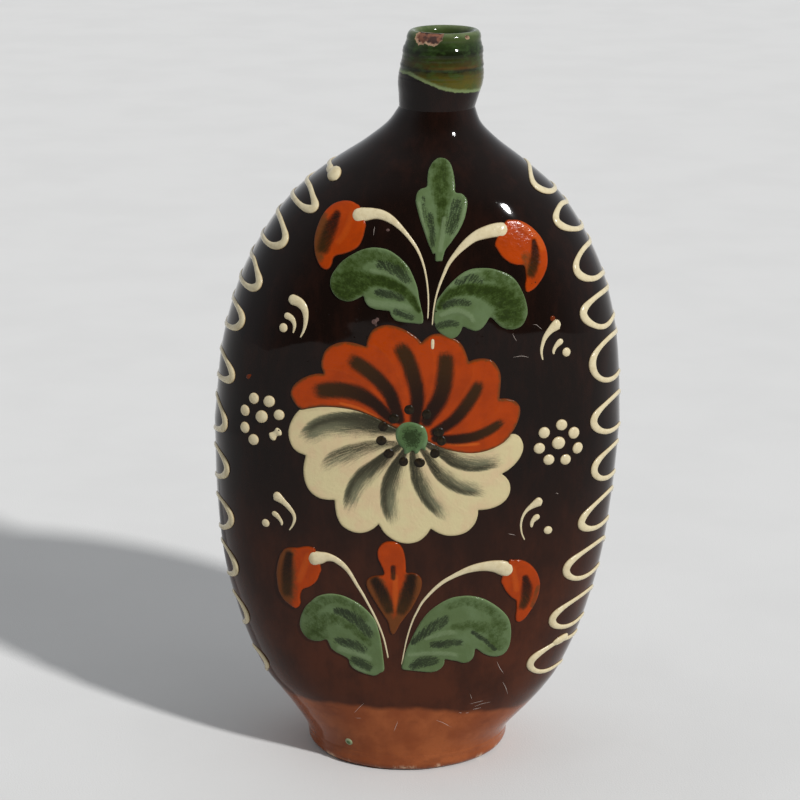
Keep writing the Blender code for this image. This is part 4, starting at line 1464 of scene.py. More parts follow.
CREAM_STREAKS = (
    Streak(((-8, 136.4, 1.6), (-11, 136.9, 2.4), (-17.5, 138.6, 3.5), (-24, 139, 3.77), (-30.5, 138.35, 3.51),
        (-36.35, 135.75, 3.2), (-41.4, 130, 2.4)), 1, 1.5, 0.9, 0.75),
    Streak(((-8, 131.2, 1.2), (-13.6, 131, 1.9), (-19.45, 129.5, 2.7), (-25.3, 127.3, 3.25),
        (-30.5, 124.7, 2.73), (-34.6, 118.6, 2)), 0.72, 1.4, 0.8, 0.65),
    Streak(((-7, 130, 1.3), (-9.7, 127.95, 1.8), (-14.9, 123.4, 2.6), (-19.45, 119.5, 2.99),
        (-22.7, 114.95, 2.73), (-24.3, 109.75, 2.5), (-24.6, 103.5, 1.9)), 1, 1.5, 0.8, 0.65),
    Streak(((-4.6, 128.6, 1.2), (-5.8, 126.65, 1.6), (-8.6, 121.45, 2.5), (-10.35, 116.25, 2.99),
        (-11, 111.05, 2.73), (-10.35, 105.85, 2.6), (-7.4, 99.5, 2)), 1, 1.5, 0.8, 0.65),
    Streak(((-1.8, 128.6, 1.1), (-1.8, 126.65, 1.5), (-1.1, 120.8, 2.2), (0.7, 115.6, 2.73),
        (3.3, 110.4, 2.6), (7.2, 105.85, 2.3), (11.8, 101.9, 1.8)), 0.93, 1.5, 0.8, 0.65),
    Streak(((1.4, 129, 1.1), (3, 126.65, 1.4), (6.55, 120.8, 2), (11.1, 116.6, 2.47), (16.3, 114, 2.34),
        (26, 112, 1.8)), 0.9, 1.6, 0.8, 0.65),
    Streak(((3, 131, 1.3), (7.85, 128.1, 2), (12.4, 124.4, 2.2), (17.6, 122.75, 2.34), (22.8, 122.75, 2.21),
        (31.5, 124.6, 2)), 0.93, 1.9, 0.8, 0.65))
# Painted highlights: bright glint lines along the orange fan's edge where it meets the cream fan, laid only
# as colour.
ORANGE_GLINTS = (
    Streak(((-27, 145.5, 0.45), (-20.75, 143.9, 0.5), (-12.6, 139.8, 0.4))),
    Streak(((9.8, 131.2, 0.4), (15, 130.7, 0.5), (22.5, 131, 0.45))))


LEFT_SEAM = ((-5.8, 135.8), (-9, 137.3), (-12.5, 139.2), (-17, 141.4), (-22.5, 143.1), (-28.5, 143.9),
    (-34, 143.8), (-38.2, 143), (-40.4, 142.4))
RIGHT_SEAM = ((32.6, 133.6), (31.8, 132.6), (29.5, 130.5), (25, 128.3), (20, 127.3), (15, 127.6), (10, 128.8),
    (6, 130.4), (3.4, 131.8))


@dataclass
class Rosette(Assembly):
    """The big flower of orange and cream petals round a green boss."""

    face: int = FRONT
    columns: int = 34
    fan_thickness: float = 0.000496
    crest_height: float = 0.00006
    streak_depth: float = 0.00008
    boss_thickness: float = 0.00105
    spot_lift: float = 0.0004
    spot_radius: float = 1.8
    outline_step: float = 0.42
    inner: float = 4.8
    middle: tuple[float, float] = (-2.2, 133.6)
    swirl: SmoothTable = SmoothTable(((-200, 20), (-165, 20), (140, 20), (150, 19), (167.5, 13), (184, 19),
                                      (192, 20), (400, 20)))
    boss_outline: Outline = (
        (-8, 133.5), (-7.7, 136.4), (-5.8, 138.6), (-3.2, 139.3), (-0.4, 138.7), (2.2, 137.5), (3.3, 135.2),
        (3.6, 132.6), (3.0, 130.2), (2.6, 128.4), (1.2, 129.2), (0.2, 127.7), (-1.0, 127.3), (-1.9, 128.5),
        (-3.4, 127.5), (-4.9, 127.4), (-5.3, 129.2), (-6.8, 130.8))
    spots: Outline = (
        (-3.1, 143.55), (-8.4, 140.3), (-12.2, 137.4), (-12.8, 132.3), (-10.2, 127.6), (-5, 124.6),
        (0.6, 124.2), (5.9, 127.6), (8.2, 132.2), (7.2, 135.4), (3, 141.9))

    def build(self) -> None:
        """Build both fans, the boss and the dark spots."""
        prefix = "rosette" if self.face == FRONT else "back_rosette"
        self.fan(f"{prefix}_orange_fan", ORANGE_PETALS, (32, 133.15), ORANGE_STREAKS, Finish.ORANGE,
                 "orange_slip")
        self.fan(f"{prefix}_cream_fan", CREAM_PETALS, (33.4, 134.3), CREAM_STREAKS, Finish.CREAM_PETAL,
                 "cream_slip")
        self.boss(prefix)
        self.drop_spots(prefix)

    def seen(self, flat: Array) -> Array:
        """Move places on the front to where they lie on this face.

        Args:
            flat: The places.

        Returns:
            The places on this face.
        """
        if self.face == FRONT:
            return flat
        shift = 2 * float(self.shape.centre(self.middle[1] * MM)) / MM - 2 * self.middle[0]
        turned = flat.copy()
        turned[:, 0] = 2 * self.middle[0] - flat[:, 0] + shift / 2
        return turned

    def fan(self, name: str, petals: tuple[Outline, ...], end: tuple[float, float],
            streaks: tuple[Streak, ...], finish: Finish, slot: str) -> None:
        """Lay one fan of petals.

        Args:
            name: The solid that it stands for.
            petals: Its petals in order.
            end: The notch after the last petal.
            streaks: The dark streaks down the petals.
            finish: Its slip.
            slot: A name for that slip, handed on to settle.
        """
        middle = np.array(self.middle)
        border, across, number = [], [], []
        ends = [petal[0] for petal in petals[1:]] + [end]
        for count, (petal, after) in enumerate(zip(petals, ends)):
            line = flat_curve((*petal, after), self.columns, False)
            turn = np.unwrap(np.arctan2(line[:, 1] - middle[1], line[:, 0] - middle[0]))
            border.append(line[:-1])
            across.append(2 * ((turn - turn[0]) / (turn[-1] - turn[0]))[:-1] - 1)
            number.append(np.full(len(line) - 1, count))
        border = np.vstack(border)
        low, high = (-17, 151) if finish is Finish.ORANGE else (151, 343)
        arc = np.radians(np.linspace(low, high, 40))
        arc = middle + self.inner * np.column_stack((np.cos(arc), np.sin(arc)))
        right, left = flat_curve(RIGHT_SEAM, 60, False), flat_curve(LEFT_SEAM, 60, False)
        parts = (border, right, arc, left)
        if finish is Finish.CREAM_PETAL:
            parts = (border, right + (0, 0.5), arc[::-1], left)
        net = fill_outline(even_outline(np.vstack(parts), self.outline_step))
        gap = net.gap
        u, v, petal_number = self.unwind(net.flat, border, np.concatenate(across), np.concatenate(number))
        radius = np.linalg.norm(net.flat - middle, axis=1)
        streak, share = brushed(net.flat, streaks)
        crest = np.exp(-((1 - np.abs(u)) * radius / 3.2) ** 2) * ease(v, 0.12, 0.4) * ease(gap, 0.3, 1.3)
        bright = brushed(net.flat, ORANGE_GLINTS)[0] if finish is Finish.ORANGE else 0
        net.flat = self.seen(net.flat)
        lift = net.domed(self.fan_thickness, 0.7)
        lift += self.crest_height * crest - self.streak_depth * streak
        piece = raise_pad(self.shape, f"{name}_slip", net, lift, self.face)
        # The ridge field paints highlights: a pale line along each petal's crest, over its small real relief,
        # and the orange fan's glint lines.
        fields = {"streak": streak, "ridge": np.maximum(0.25 * crest, bright), "warm": share,
                  "thin": np.exp(-(gap / 0.9) ** 2), "edge": gap}
        paint(piece, finish, fields, (u / 2 + 3 * petal_number, v * 6))
        self.settle(piece, slot, name)

    def unwind(self, flat: Array, border: Array, across: Array,
               number: Array) -> tuple[Array, Array, Array]:
        """Find where flat places lie on the petals, along the swirl from the boss to the outline.

        Args:
            flat: The places.
            border: The petals' outer outline.
            across: The share across its petal, from -1 to 1, of each point of that outline.
            number: The petal of each point of that outline.

        Returns:
            For each place the share across its petal, the share of the way out and the petal.
        """
        middle = np.array(self.middle)
        reach = np.linalg.norm(border - middle, axis=1)
        outer = np.degrees(np.unwrap(np.arctan2(border[:, 1] - middle[1], border[:, 0] - middle[0])))
        order = np.argsort(outer)
        radius = np.linalg.norm(flat - middle, axis=1)
        start = np.degrees(np.arctan2(flat[:, 1] - middle[1], flat[:, 0] - middle[0]))
        centre = (outer.min() + outer.max()) / 2
        start = (start - centre + 180) % 360 - 180 + centre
        turn = start.copy()
        for _ in range(24):
            span = np.interp(turn, outer[order], reach[order]) - self.inner
            v = np.clip((radius - self.inner) / span, 0, 1)
            turn += 0.5 * (start + self.swirl.at(turn % 360) * (1 - v) ** 0.47 - turn)
        near = np.abs(turn[:, None] - outer[None, order]).argmin(1)
        return np.interp(turn, outer[order], across[order]), v, number[order][near]

    def boss(self, prefix: str) -> None:
        """Lay the green boss in the middle.

        Args:
            prefix: The flower's name.
        """
        outline = flat_curve(self.boss_outline, 150, True)
        net = fill_outline(outline, 0.4)
        from_middle = np.linalg.norm(net.flat - np.array(self.middle), axis=1)
        fields = {"streak": 1.2 * (1 - ease(from_middle, 1, 5)), "ridge": 0.5 * ease(from_middle, 3.8, 5.4),
                  "warm": np.full(len(net.flat), 0.4), "thin": np.zeros(len(net.flat)), "edge": net.gap}
        grain = (net.flat[:, 0] / 40, net.flat[:, 1] / 1.9)
        net.flat = self.seen(net.flat)
        lift = net.domed(self.boss_thickness, 1.5)
        piece = raise_pad(self.shape, f"{prefix}_boss_slip", net, lift, self.face)
        paint(piece, Finish.BOSS, fields, grain)
        self.settle(piece, "green_slip", f"{prefix}_boss")

    def drop_spots(self, prefix: str) -> None:
        """Let eleven dark spots fall in a ring round the boss.

        Args:
            prefix: The flower's name.
        """
        flat = self.seen(np.array(self.spots))
        points, outward = self.shape.on_face(flat, self.spot_lift, self.face)
        stretch = 1 + 0.1 * np.sin(np.arange(len(flat)) * 2.3)
        line = Line(points, outward, np.full(len(flat), self.spot_radius * MM), stretch, False)
        piece = grow(f"{prefix}_dark_spots", [line], drop_tree(), {"Rise": 0.3}, Finish.SPOT)
        self.settle(piece, "dark_glaze")


GREEN_MARKS = (
    Mark("upper_trefoil", (7.2, 193), (
        (7.75, 228.4), (10, 227.8), (11.5, 226), (12.35, 223), (12.75, 220), (12.9, 217.6), (15, 217.1),
        (16.4, 215.9), (17, 214.5), (16.75, 212), (15.9, 208.75), (14, 205), (11.5, 201.5), (9.5, 199),
        (8.75, 197), (8.25, 195.25), (7, 195), (5.9, 195.25), (5.75, 197.5), (5, 197.5), (4.25, 199),
        (3, 202), (1.75, 205.5), (0.5, 209), (-0.5, 212.5), (-0.95, 215), (-0.5, 217.25), (0.75, 218.6),
        (2.85, 219.4), (3.1, 222), (3.5, 224.5), (4.75, 226.75), (6.25, 228)),
        dark=(Streak(((4, 210, 0.9), (4.8, 204, 1), (5, 199, 0.8)), 0.9), Streak(((13.3, 214, 1.6),
            (12, 208, 2), (10.3, 203, 1.3)), 0.75), Streak(((1.8, 215.5, 0.8), (2.6, 210, 0.9),
            (3.4, 205, 0.7)), 0.4)),
        bright=(Streak(((0.2, 214, 0.6), (1.6, 208, 0.6), (3.4, 201.6, 0.5)), 0.7), Streak(((16.2, 213, 0.6),
            (14.4, 207.6, 0.6), (10.6, 201.6, 0.5)), 0.7), Streak(((9, 209, 0.8), (8.2, 203, 0.9),
            (7.4, 197, 0.8)), 0.7)),
        thin=(Streak(((7.7, 225, 3), (7.8, 220, 3.4), (7.8, 216, 2.6), (8, 211, 1.6), (7.6, 205, 1.1)), 0.85),
            Streak(((10.5, 217, 1.4), (9, 210, 1.2), (7.4, 201, 0.8)), 0.5))),
    Mark("upper_leaf_left", (3, 174), (
        (1.25, 173.85), (1.75, 176), (1, 179.5), (0.25, 183), (-0.25, 186), (-1.5, 189.5), (-3.25, 193),
        (-5.5, 195.5), (-8, 197.5), (-10.5, 198.85), (-13, 199.4), (-16, 199.5), (-19, 198.85),
        (-21.5, 197.75), (-24.5, 196), (-27, 194), (-29, 191.5), (-30.15, 189.5), (-30.6, 187.25),
        (-30.25, 185.25), (-29.1, 183.25), (-27.25, 181.85), (-24.75, 181.15), (-22.5, 181.5),
        (-20.25, 182.6), (-19, 183.1), (-18.5, 181.5), (-17.25, 179.75), (-15, 178.75), (-12, 178.35),
        (-10, 178.1), (-9.5, 176.75), (-8, 175), (-5.5, 174.35), (-2, 174)),
        dark=(Streak(((-13, 193.8, 1.5), (-7, 191.8, 1.8), (-2.6, 187, 1.1)), 0.85),
            Streak(((-14, 184.5, 1.2), (-9, 183.5, 1.3), (-4, 182, 0.9)), 0.9), Streak(((-8, 178, 1),
            (-5, 177, 1.1), (-1, 175.5, 0.9)), 0.9)),
        bright=(Streak(((-16, 191.6, 0.9), (-11, 191.2, 1), (-6, 189, 0.9), (-2, 185.4, 0.7)), 0.5),
            Streak(((-17, 181.4, 1.4), (-12, 180.6, 1.2), (-6, 180.2, 1.1), (-1, 178.6, 0.8)), 0.6)),
        thin=(Streak(((-25.5, 186.3, 5.4), (-22, 187.5, 4.6), (-15, 188.6, 2.2), (-9, 187.2, 1.9),
            (-3.5, 183.8, 1.5), (0.2, 178.5, 0.9)), 1, tail=1), Streak(((-25, 192.5, 3), (-17, 196.6, 2.2),
            (-9, 195.4, 1.6), (-3.4, 190, 1.2)), 0.7))),
    Mark("upper_leaf_right", (5, 172), (
        (6.25, 181.5), (5.5, 178), (5.4, 174.5), (6.5, 171.75), (8.75, 169.75), (11.25, 168.5),
        (13.25, 169.25), (14.75, 171), (15.5, 172.65), (17.75, 171.75), (20, 171.15), (22, 172),
        (23.5, 173.75), (25, 175.75), (27, 174), (29, 172.25), (31.75, 171.35), (34, 171.5), (36.25, 172.75),
        (37.75, 175.5), (38, 178), (37.25, 181.5), (36, 184.5), (34.25, 187.5), (32, 189.75), (29, 191.25),
        (25.5, 192.35), (22, 192.65), (18.5, 192.4), (15.5, 191.25), (12.5, 189), (10, 186.5),
        (7.75, 183.75)),
        dark=(Streak(((13.5, 188, 1.1), (18, 189.2, 1.3), (23, 188.2, 1)), 0.7), Streak(((9, 180, 1),
            (13, 181.4, 1.2), (19, 180.5, 0.9)), 0.9), Streak(((7, 173, 1.1), (10.5, 174, 1.2),
            (14.5, 173.4, 0.9)), 0.85)),
        bright=(Streak(((8, 177, 0.8), (13, 178.6, 1), (17.4, 177, 0.9), (19.8, 173.4, 0.7)), 0.7),
            Streak(((11, 186.8, 0.5), (17, 191, 0.6), (23, 191.8, 0.5)), 0.6)),
        thin=(Streak(((31.6, 177.4, 5.2), (29.6, 181.5, 4.8), (24, 184.4, 2.8), (17, 185.6, 1.9),
            (10.5, 183.8, 1.5), (7.4, 179.6, 1)), 1, tail=1), Streak(((34, 183, 3), (28.5, 188.6, 2.2),
            (21, 190.4, 1.6)), 0.6))),
    Mark("lower_leaf_left", (-11, 41), (
        (-12.25, 43), (-12, 44.5), (-12.4, 49), (-13, 54), (-13.75, 58.5), (-15, 63), (-16.5, 65.5),
        (-18.5, 67.75), (-21, 70), (-24, 71.75), (-27, 73), (-30.5, 73.5), (-33.5, 73.1), (-36.5, 71.75),
        (-38.75, 69.5), (-40.5, 67.5), (-41.75, 64.75), (-42.5, 62), (-42.65, 59.5), (-41.75, 56.75),
        (-40, 54.75), (-37.5, 53.85), (-35, 54.1), (-33, 54.9), (-32.25, 53.75), (-31.25, 51.5), (-29.5, 50),
        (-27, 48.75), (-25.15, 47.5), (-24.5, 45.25), (-22.5, 43.25), (-19, 41.75), (-15.5, 41.1),
        (-13.5, 42.25)),
        dark=(Streak(((-29, 67.2, 1.2), (-24, 65, 1.9), (-20, 61.6, 1.8), (-16, 55.8, 1.2)), 0.9),
            Streak(((-29, 55.2, 1.2), (-23, 53.6, 1.8), (-18, 50.4, 1.2)), 0.85), Streak(((-23, 47.4, 1.4),
            (-20, 46, 1.7), (-16, 43.8, 1.2)), 0.9)),
        bright=(Streak(((-28, 51.8, 1.2), (-21, 50, 1.2), (-15.5, 47.2, 0.9)), 0.65),
            Streak(((-22.6, 44.6, 1), (-18, 42.8, 0.8)), 0.6)),
        thin=(Streak(((-37, 57.5, 4.4), (-35, 62, 3.6), (-30, 63.5, 2), (-24, 60.8, 1.6), (-17, 54.5, 1.2)),
            0.6, tail=1), Streak(((-39, 66, 2.4), (-32, 71.4, 1.8), (-24, 69.8, 1.5), (-16.6, 61.6, 1.2)),
            0.5))),
    Mark("lower_leaf_right", (-6, 42), (
        (-5.75, 45), (-5, 43.75), (-2.5, 43.4), (0, 43.1), (3, 42.75), (5.5, 42.75), (7.75, 43.5), (9.25, 45),
        (9.85, 46.5), (10, 47.85), (12, 47.5), (14.5, 46.9), (16.75, 46.1), (19, 46.75), (20.5, 48.75),
        (21, 51.75), (22.5, 50.75), (24, 49.5), (26.5, 48.25), (29.25, 47.9), (31.5, 48.75), (33, 50.75),
        (33.75, 53.5), (34, 57), (33.75, 60.5), (32.75, 63.5), (31, 66), (28.5, 68.5), (25.5, 70.75),
        (22.5, 72.25), (19, 73.1), (16, 73.15), (12.5, 72.6), (9.5, 71.25), (6.5, 69.25), (4, 67), (2, 64.5),
        (0.25, 61.5), (-1.25, 58.5), (-2.75, 55), (-4, 52), (-5, 48.5)),
        dark=(Streak(((-1.5, 55, 1.1), (3, 59.4, 1.5), (7.75, 62.6, 1.8), (12, 65.6, 1.1)), 0.9),
            Streak(((20, 58.6, 0.7), (24, 55.4, 0.8), (28, 51, 0.6)), 0.9, tail=1), Streak(((5.5, 54.2, 1.2),
            (9.5, 54.2, 1.4), (13, 55, 1.3), (17, 54.4, 1)), 0.9), Streak(((-1.5, 45.4, 1.5), (1.5, 47, 2),
            (5.5, 47.4, 1.9), (8, 46.4, 1.2)), 0.9)),
        bright=(Streak(((3, 56.6, 0.7), (9.5, 58.8, 1), (15, 59, 1)), 0.6), Streak(((-3, 50, 0.7),
            (3, 50.6, 0.9), (10, 50.6, 0.9), (16, 49.4, 0.8)), 0.7)),
        thin=(Streak(((28.5, 53.5, 3.4), (26.5, 58.5, 3.2), (20, 61.6, 2), (13, 61, 1.3)), 0.58, tail=1),
            Streak(((30.6, 60, 2), (26, 67, 1.8), (17, 71, 1.5), (8, 67.6, 1.2)), 0.5))))
ORANGE_MARKS = (
    Mark("lower_trefoil", (-8.6, 98), (
        (-9.75, 94.5), (-7.5, 94.1), (-5.75, 92.5), (-4.75, 90), (-4.25, 87), (-4.1, 84), (-3.9, 82.4),
        (-2, 82.4), (0, 81.75), (1.25, 80.25), (1.6, 78), (1, 75), (-0.5, 71.5), (-2.25, 68), (-4.5, 64.75),
        (-6.25, 62), (-7.75, 59), (-9, 58), (-10, 59.5), (-10.75, 63), (-12.5, 66), (-14.5, 69.5),
        (-16.5, 73), (-18, 76), (-18.5, 78.25), (-17.75, 80), (-15.5, 81.1), (-12.5, 81.5), (-12.25, 83),
        (-13.25, 85.5), (-14.25, 88), (-14.4, 90.75), (-13.25, 93), (-11.5, 94.25)),
        dark=(Streak(((-8.75, 84.5, 1), (-8.75, 80.5, 0.9)), 0.8, tail=1), Streak(((-15, 79, 1.9),
            (-12.9, 75, 2.3), (-10.9, 70, 2.1), (-9.5, 65.5, 1.4)), 0.82), Streak(((-2.3, 80.5, 2),
            (-3.3, 75.5, 2.5), (-4.8, 70.5, 2.3), (-7, 65, 1.5)), 0.82)),
        bright=(Streak(((-8, 81, 1), (-8, 74, 1.1), (-8.2, 66, 0.8)), 0.6),),
        thin=(Streak(((-16.8, 79.5, 3.8), (-14.2, 73, 4), (-11.2, 66, 3), (-9.2, 59, 3)), 1, tail=1),
            Streak(((-0.4, 80, 3.8), (-2, 73, 4.2), (-5.2, 66, 3), (-8.4, 59.5, 3)), 1, tail=1))),
    Mark("upper_bud_left", (-20, 211), (
        (-25, 214.25), (-23, 214.15), (-21.25, 213.4), (-20, 212.4), (-18.15, 207.5), (-18.4, 205),
        (-19.25, 202), (-20.75, 199.5), (-23, 198), (-26, 196.85), (-28.25, 196.25), (-29.4, 195.25),
        (-29.85, 193.5), (-30.75, 192), (-32, 191.4), (-33.5, 192), (-34.75, 193.5), (-35.75, 196),
        (-36.2, 199), (-36, 202), (-35, 205.5), (-33.5, 208.75), (-31.5, 211.25), (-29.25, 213),
        (-27, 213.9)),
        dark=(Streak(((-28, 209.6, 1.3), (-30.2, 205, 2.2), (-32.8, 198.4, 2.2), (-33.6, 195.6, 1.7)),
            0.82),),
        bright=(Streak(((-23, 210, 1), (-25, 204, 1.2), (-29, 199, 1)), 0.4),),
        thin=(Streak(((-33.4, 207, 2.6), (-35.2, 201.5, 3.2), (-34.8, 196, 2.4)), 0.95, tail=1),)),
    Mark("upper_bud_right", (28, 205), (
        (30, 207.5), (32.5, 208.1), (35, 207.75), (37.5, 206.6), (40, 204.75), (42.5, 202), (44.25, 198.75),
        (45, 195.5), (44.9, 192), (43.75, 189), (42, 186.5), (40.25, 184.75), (38, 183.75), (37.1, 184.5),
        (36.9, 186.5), (37.25, 188.5), (37, 191), (36.4, 192.75), (34, 193.1), (31.5, 194), (29, 196),
        (27.25, 198.5), (26.5, 201)),
        dark=(Streak(((40, 200.5, 0.8), (40.4, 197, 1.5), (40, 193, 1.8), (38.4, 187.6, 1.3)), 0.85),),
        # The bright streak over the bud's upper right is a painted reflection.
        bright=(Streak(((36, 206, 1.2), (41, 202, 1.3), (43.8, 196, 1)), 0.6),),
        thin=(Streak(((37.2, 196, 1.6), (38.2, 191, 1.6)), 0.6, tail=1),)),
    Mark("lower_bud_left", (-36, 88), (
        (-40, 91.4), (-37.75, 91.25), (-36.5, 90.5), (-34.5, 83.5), (-35, 81), (-36.25, 78), (-38.5, 75.75),
        (-41, 74.5), (-41.9, 73), (-42.25, 71), (-42.1, 68.75), (-42.75, 67.25), (-44, 66.4), (-45.75, 67.25),
        (-47.5, 68.5), (-49, 70.25), (-50.25, 73), (-50.75, 76.5), (-50.9, 80), (-50.4, 83.5), (-49.5, 86.75),
        (-48, 89.25), (-46, 90.25), (-43, 90.6)),
        dark=(Streak(((-46, 87.6, 1.4), (-46.6, 83, 1.9), (-46.9, 78, 2.1), (-46.9, 73, 1.9),
            (-46.4, 69.6, 1.3)), 0.8),),
        bright=(Streak(((-39, 88, 1.1), (-41, 82, 1.3), (-43, 76, 1)), 0.5),),
        thin=(Streak(((-48.2, 88, 4), (-49.6, 80, 5.6), (-48.2, 71, 4)), 1, tail=1),)),
    Mark("lower_bud_right", (31, 83), (
        (32.5, 86), (34.5, 86.4), (36.75, 86.25), (39, 85.25), (41, 83.5), (42.75, 81), (43.9, 78),
        (44.25, 75), (43.75, 71.5), (42.5, 68), (40.75, 65), (39, 62.5), (37, 61.25), (35.6, 61.75),
        (35.25, 63.5), (35.5, 66), (35.5, 68.5), (35.25, 70.25), (33.5, 71.75), (31.75, 74), (30.5, 76.5),
        (29.9, 79)),
        dark=(Streak(((38.6, 79, 1.2), (39.2, 75, 2), (38.8, 70.5, 1.9), (37, 65.5, 1.2)), 0.85),),
        bright=(Streak(((34, 83, 1), (35, 78, 1.2), (35.6, 73, 1)), 0.5),),
        thin=(Streak(((43.4, 75, 0.8), (41.4, 67.5, 0.9)), 0.6, tail=1),)))


@dataclass
class Sprigs(Assembly):
    """The leaves, trefoils and buds of the two sprigs."""

    thickness: float = 0.0006
    streak_depth: float = 0.00012
    ridge_height: float = 0.00014
    outline_points: int = 260
    green: tuple[Mark, ...] = GREEN_MARKS
    orange: tuple[Mark, ...] = ORANGE_MARKS

    def build(self) -> None:
        """Build every pad of the sprigs."""
        for mark in self.green:
            self.lay(mark, Finish.GREEN, "green_slip")
        for mark in self.orange:
            self.lay(mark, Finish.ORANGE, "orange_slip")

    def lay(self, mark: Mark, finish: Finish, slot: str) -> None:
        """Lay one mark.

        Args:
            mark: The mark.
            finish: Its slip.
            slot: A name for that slip, handed on to settle.
        """
        net = fill_outline(flat_curve(mark.outline, self.outline_points, True))
        streak, share = brushed(net.flat, mark.dark)
        ridge = brushed(net.flat, mark.bright)[0]
        thin = brushed(net.flat, mark.thin)[0]
        lift = net.domed(self.thickness) - self.streak_depth * streak
        lift += self.ridge_height * ridge * ease(net.gap, 0.3, 1)
        piece = raise_pad(self.shape, f"{mark.node}_slip", net, lift)
        offset = net.flat - np.array(mark.root)
        turn = np.arctan2(offset[:, 1], offset[:, 0])
        reach = np.linalg.norm(offset, axis=1)
        # The bright streaks are raised and painted in the paler ridge colour; on the upper right bud that
        # streak is a painted reflection.
        fields = {"streak": streak, "ridge": ridge, "warm": share, "thin": thin, "edge": net.gap}
        side = np.median(turn)
        paint(piece, finish, fields, (((turn - side + math.pi) % (2 * math.pi)) * 1.6, reach / 6))
        self.settle(piece, slot, mark.node)


# Strokes of the slip trailer: the solid that each stands for and its points with half widths
CREAM_STROKES = (
    ("upper_stem_left", ((-23.1, 209.6, 2.6), (-21, 209.8, 2.75), (-18.3, 210.2, 2.5), (-15, 210.5, 2),
        (-12, 210, 1.8), (-9, 208.5, 1.5), (-6, 206, 1.1), (-3, 202.75, 0.85), (-0.5, 199.25, 0.7),
        (1.25, 195.5, 0.55), (2.5, 191, 0.45), (3.25, 186, 0.4), (3.5, 181, 0.35), (3.3, 175.5, 0.3))),
    ("upper_stem_right", ((31.2, 204.7, 2.4), (29, 205, 2.7), (26, 204.9, 2.5), (22, 204, 2.15),
        (19, 202.75, 1.75), (16, 200.5, 1.5), (13, 197.5, 1.1), (10.5, 194.25, 0.85), (8.75, 190.5, 0.7),
        (7.25, 186.75, 0.55), (6, 182.5, 0.4), (5.25, 178, 0.35), (4.85, 173.25, 0.3))),
    ("lower_stem_left", ((-39.3, 86.9, 2.8), (-37, 87, 3), (-34.5, 87.4, 2.4), (-32.5, 87.75, 1.85),
        (-30, 87.25, 1.4), (-28, 86, 1.3), (-26, 84.25, 1.1), (-24, 81.5, 0.9), (-21.5, 77, 0.75),
        (-19.5, 73.5, 0.65), (-17.5, 69.5, 0.55), (-15.5, 65.25, 0.55), (-13.75, 61, 0.5),
        (-12.25, 56.5, 0.45), (-11.25, 52, 0.4), (-10.6, 48.25, 0.35))),
    ("lower_stem_right", ((34.2, 81.6, 2.6), (32.2, 82.6, 2.9), (30, 83.6, 2.9), (27.5, 84.25, 2.4),
        (24.5, 84.4, 1.95), (21.5, 84.1, 1.7), (18.5, 83.4, 1.45), (15.5, 82.25, 1.2), (12.5, 80.75, 1),
        (9.5, 79, 0.9), (6.5, 76.5, 0.8), (3.75, 73.5, 0.7), (1.5, 70.5, 0.6), (-0.25, 67, 0.5),
        (-1.75, 63.5, 0.45), (-3, 59.5, 0.4), (-4, 55.5, 0.35), (-4.75, 51.5, 0.3), (-5.75, 45.5, 0.3))),
    ("comma_upper_left", ((-45.2, 180.7, 1.85), (-43.6, 180.6, 1.95), (-41.3, 179.8, 1.8),
        (-39.7, 178, 1.55), (-39.1, 175.5, 1.2), (-39.3, 172.5, 0.9), (-40, 170, 0.6), (-41.1, 167.9, 0.3))),
    ("small_comma_upper_left", ((-46.8, 174.9, 1.3), (-45.3, 174.8, 1.4), (-43.8, 173.8, 1.2),
        (-43.1, 171.9, 0.85), (-43.4, 170, 0.5), (-43.7, 169.2, 0.3))),
    ("comma_lower_left", ((-51.4, 110, 1.75), (-50.2, 109.4, 1.95), (-47.7, 107.5, 1.3),
        (-45.7, 105.5, 1.1), (-44.2, 103.3, 0.9), (-43.9, 101.2, 0.75), (-44.7, 98.8, 0.5),
        (-45.9, 96.9, 0.3))),
    ("small_comma_lower_left", ((-52, 103, 1.15), (-50.6, 102.3, 1.2), (-49.4, 101, 0.95),
        (-48.6, 99.6, 0.75), (-48.6, 98.4, 0.4))),
    ("comma_upper_right", ((49.7, 172.4, 1.75), (48.3, 171.9, 2), (45.9, 170, 1.4), (44.3, 167.9, 1.1),
        (43.5, 165.8, 0.85), (43.05, 163.5, 0.7), (43.2, 161.7, 0.5), (43.6, 160, 0.3))),
    ("small_comma_upper_right", ((50.7, 166.2, 1.2), (49.4, 165.7, 1.3), (48, 164.2, 0.95),
        (47.4, 162.8, 0.75), (47.5, 161.7, 0.4))),
    ("comma_lower_right", ((44.3, 108.4, 1.6), (42.9, 107.9, 1.85), (40.5, 106.5, 1.25),
        (38.6, 104.9, 0.85), (37.4, 102.9, 0.62), (36.8, 100.5, 0.52), (36.8, 98.4, 0.47), (37.2, 96.1, 0.4),
        (38.2, 93.7, 0.25))),
    ("small_comma_lower_right", ((43.5, 102.2, 1.2), (42.1, 102, 1.35), (40.9, 100.6, 1),
        (40.6, 99.2, 0.8), (40.65, 98.3, 0.4))),
    ("dot_left_7", ((-52.2, 130.9, 1.85), (-51.6, 131.4, 2), (-50.3, 132.7, 1.3), (-48.9, 133.8, 2),
        (-48.4, 134.2, 1.85))))


@dataclass
class Strokes(Assembly):
    """The cream stems and commas drawn with a slip trailer."""

    strokes: tuple[tuple[str, Route], ...] = CREAM_STROKES
    steps: int = 110

    def build(self) -> None:
        """Build every stroke."""
        for node, places in self.strokes:
            path = flat_curve(places, self.steps, False)
            run = run_along(path[:, :2])
            half = round_ends(run, path[:, 2] * (0.74 + 0.24 * ease(path[:, 2], 0.4, 2.2)))
            points, outward = self.shape.on_face(path, 0)
            piece = grow(f"{node}_slip", [Line(points, outward, half * MM)], trail_tree(),
                         {"Rise": 0.42}, Finish.TRAILED)
            self.settle(piece, "cream_slip", node)


